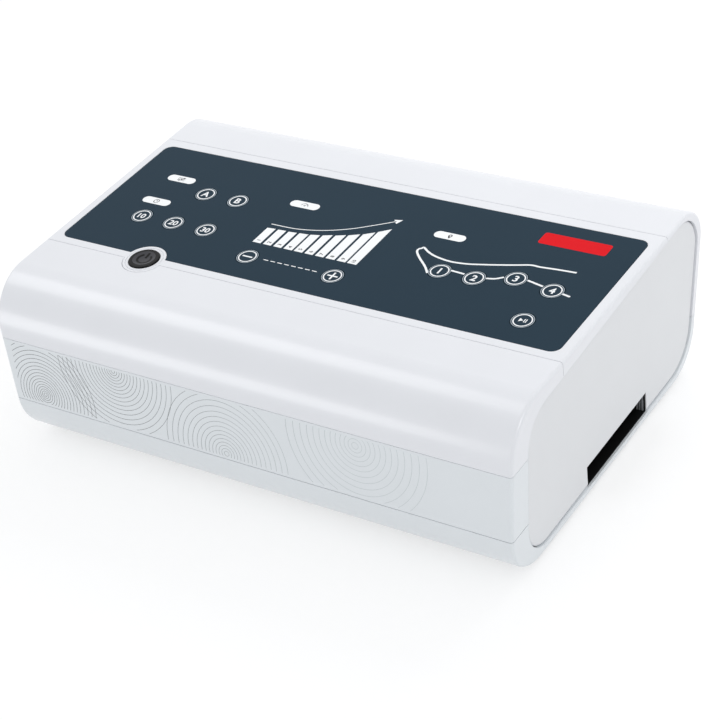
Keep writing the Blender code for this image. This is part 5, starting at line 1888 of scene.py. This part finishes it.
@dataclass
class Underside(SubAssembly):
    """The four rubber feet and the four screws that hold the covers."""

    shape: CaseShape
    foot_radius: float = 0.0085
    foot_edge: float = 0.001
    foot_recess: float = 0.0012
    screw_radius: float = 0.0017
    head_radius: float = 0.0033
    head_height: float = 0.0024
    plain_shank: float = 0.002
    pitch: float = 0.0012
    cross: tuple[float, float] = (0.0036, 0.0009)

    def build(self) -> None:
        """Make the feet and the screws."""
        for end in ("front", "rear"):
            for side in ("left", "right"):
                self.build_foot(f"{end}_{side}")
                self.build_screw(f"{end}_{side}")

    def build_foot(self, corner: str) -> None:
        """Make one foot, with a rounded tread and a shallow hollow in it."""
        name = f"foot_{corner}"
        height = self.shape.base + self.foot_recess - self.shape.clearance
        radius, edge = self.foot_radius, self.foot_edge
        foot = Solid().line((0, height), (radius, height), (radius, edge))
        foot.arc((radius - edge, edge), math.pi / 2)
        foot.line((radius - 2.5 * edge, 0), (radius - 3 * edge, edge / 2), (0, edge / 2))
        self.fit(f"rubber_{name}", foot.whirled((*middle(name).xy, 0), 72), Look.RUBBER, stands_for=[name])

    def build_screw(self, corner: str) -> None:
        """Make one cross-head screw, its head downwards."""
        name = f"case_screw_{corner}"
        low, high = (point[2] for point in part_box(name))
        seat = low + self.head_height
        radius, head = self.screw_radius, self.head_radius
        screw = Solid().line((0, high), (radius / 2, high), (radius, high - radius))
        turns = int((high - radius - seat - self.plain_shank) / self.pitch)
        for number in range(turns):
            z = high - radius - number * self.pitch
            screw.line((radius * 0.8, z - self.pitch / 3), (radius, z - self.pitch * 5 / 6))
        screw.line((radius, seat), (head, seat), (head, seat - self.head_height / 2))
        screw.line((head * 0.88, low + 0.0004), (head * 0.6, low), (0, low))
        screw.whirled((*middle(name).xy, 0), 40)
        long, wide = self.cross
        x, y = middle(name).xy
        for half_x, half_y in ((long / 2, wide / 2), (wide / 2, long / 2)):
            cut = Solid.block((x - half_x, y - half_y, low - 0.001), (x + half_x, y + half_y, low + 0.0013))
            screw.combined(Operation.CUT, cut)
        self.fit(f"cross_{name}", screw, Look.ZINC_STEEL, stands_for=[name])


@dataclass
class InnerWorks(SubAssembly):
    """Everything inside the case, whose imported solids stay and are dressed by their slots."""

    special = {"transformer_coil": Look.UPRIGHT_WINDING, "power_board": Look.LOW_BOARD}

    def build(self) -> None:
        """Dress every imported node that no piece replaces."""
        for row in frame["record"]["subparts"]:
            node = frame["nodes"][row["node"]]
            if node.hide_render:
                continue
            look = self.special.get(row["node"], Look[row["material_slot"].upper()])
            for slot in node.material_slots:
                slot.link = "OBJECT"
                slot.material = look.material()
            LOG.info("%s: packed solid, %s", row["node"], look.name.lower())


@dataclass
class Studio:
    """The white floor, plain light and the camera of the photograph."""

    floor_size: float = 12.0
    shadow_share: float = 0.5
    glow: float = 1.15
    sky: float = 0.89
    key: float = 2.0
    fill: float = 0.2
    strip: float = 2.6
    glint: float = 2.8
    spark: float = 10.0
    aim = Vector((0, 0, 0.08))

    def build(self) -> None:
        """Set up floor, light and camera."""
        self.build_floor()
        self.build_sky()
        self.build_lamps()
        self.build_camera()
        view = bpy.context.scene.view_settings
        view.view_transform = "Standard"
        LOG.info("studio ready")

    def build_floor(self) -> None:
        """Make the floor, which the camera sees as white but for the pump's shadow."""
        bm = bmesh.new()
        bmesh.ops.create_grid(bm, x_segments=1, y_segments=1, size=self.floor_size / 2)
        mesh = bpy.data.meshes.new("floor")
        bm.to_mesh(mesh)
        bm.free()
        floor = bpy.data.objects.new("floor", mesh)
        bpy.context.scene.collection.objects.link(floor)
        made = bpy.data.materials.new("floor")
        made.use_nodes = True
        shader = Shader(made.node_tree)
        surface = made.node_tree.nodes["Principled BSDF"]
        paper = shader.noise(shader.place(), 0.002)
        shader.feed(surface.inputs["Base Color"], shader.blend(paper, (0.93, 0.93, 0.93), (0.96, 0.96, 0.96)))
        surface.inputs["Roughness"].default_value = 0.9
        surface.inputs["Specular IOR Level"].default_value = 0.1
        seen = self.seen(shader)
        glow = shader.add("ShaderNodeEmission", inputs={"Color": (1, 1, 1), "Strength": self.glow})
        mixed = shader.add(
            "ShaderNodeMixShader",
            inputs={0: seen * (1 - self.shadow_share), 1: Value(shader, surface.outputs[0]), 2: glow},
        )
        shader.feed(made.node_tree.nodes["Material Output"].inputs["Surface"], mixed)
        mesh.materials.append(made)

    def seen(self, shader: Shader) -> Value:
        """1 for rays that show the background: straight ones, reflected ones and those through glass."""
        kinds = ("Camera", "Glossy", "Transmission")
        rays = [shader.add("ShaderNodeLightPath", output=f"Is {kind} Ray") for kind in kinds]
        return rays[0] + rays[1] + rays[2]

    def build_sky(self) -> None:
        """Light from all round, which is plain white where it is seen."""
        world = bpy.data.worlds.new("studio")
        bpy.context.scene.world = world
        world.use_nodes = True
        shader = Shader(world.node_tree)
        light = shader.add("ShaderNodeBackground", inputs={"Color": (0.97, 0.985, 1.0), "Strength": self.sky})
        plain = shader.add("ShaderNodeBackground", inputs={"Color": (1, 1, 1), "Strength": 1.0})
        mixed = shader.add("ShaderNodeMixShader", inputs={0: self.seen(shader), 1: light, 2: plain})
        shader.feed(world.node_tree.nodes["World Output"].inputs["Surface"], mixed)

    def softbox(
        self, name: str, radiance: float, place: Vector, size: Sequence[float], gloss_only: bool = False
    ) -> None:
        """Hang a flat lamp with its long side along X, facing the pump.

        Args:
            name: Its name.
            radiance: How bright its face is, where 1 is white.
            place: Where it hangs.
            size: Its length and width.
            gloss_only: Whether it is only seen in gloss, and lights nothing.
        """
        data = bpy.data.lights.new(name, "AREA")
        data.shape = "RECTANGLE"
        data.size, data.size_y = size
        data.energy = radiance * math.pi * size[0] * size[1]
        lamp = bpy.data.objects.new(name, data)
        bpy.context.scene.collection.objects.link(lamp)
        back = (place - self.aim).normalized()
        along = (Vector((1, 0, 0)) - back * back.x).normalized()
        turn = Matrix((along, back.cross(along), back)).transposed()
        lamp.matrix_world = Matrix.Translation(place) @ turn.to_4x4()
        lamp.visible_camera = False
        lamp.visible_diffuse = not gloss_only
        lamp.visible_glossy = gloss_only

    def build_lamps(self) -> None:
        """A soft key from behind, a fill from the right, and lamps that only draw highlights."""
        self.softbox("key", self.key, Vector((0.1, 0.5, 0.6)), (0.6, 0.3))
        self.softbox("fill", self.fill, Vector((1.2, 0.2, 0.75)), (0.8, 0.8))
        self.softbox("strip", self.strip, Vector((-0.93, -0.1, 1.41)), (0.8, 0.6), gloss_only=True)
        self.softbox("glint", self.glint, Vector((-0.35, -0.55, 0.08)), (0.46, 0.2), gloss_only=True)
        self.softbox("spark", self.spark, Vector((1.0, -0.52, 0.94)), (0.4, 0.4), gloss_only=True)

    def build_camera(self) -> None:
        """The camera, where the photograph was taken from."""
        data = bpy.data.cameras.new("camera")
        data.lens = 100.9984
        data.sensor_width = 36
        data.clip_end = 50
        camera = bpy.data.objects.new("camera", data)
        bpy.context.scene.collection.objects.link(camera)
        right, up = Vector((0.828742, 0.536551, -0.159062)), Vector((-0.210859, 0.562656, 0.799347))
        out = right.cross(up).normalized()
        turn = Matrix((right, out.cross(right), out)).transposed()
        camera.matrix_world = Matrix.Translation((0.608186, -0.734682, 0.703776)) @ turn.to_4x4()
        bpy.context.scene.camera = camera


def main() -> None:
    """Build the sub-assemblies in order."""
    logging.basicConfig(level=logging.INFO, format="%(name)s %(message)s")
    Studio().build()
    shape = CaseShape()
    panels = EndPanels(shape)
    for assembly in (
        CaseCovers(shape),
        FrontPattern(shape),
        panels,
        ControlOverlay(shape),
        Keys(shape),
        PowerButton(shape),
        HoseSocket(panels),
        MainsInlet(shape),
        Underside(shape),
        InnerWorks(),
    ):
        assembly.build()


if __name__ == "__main__":
    main()
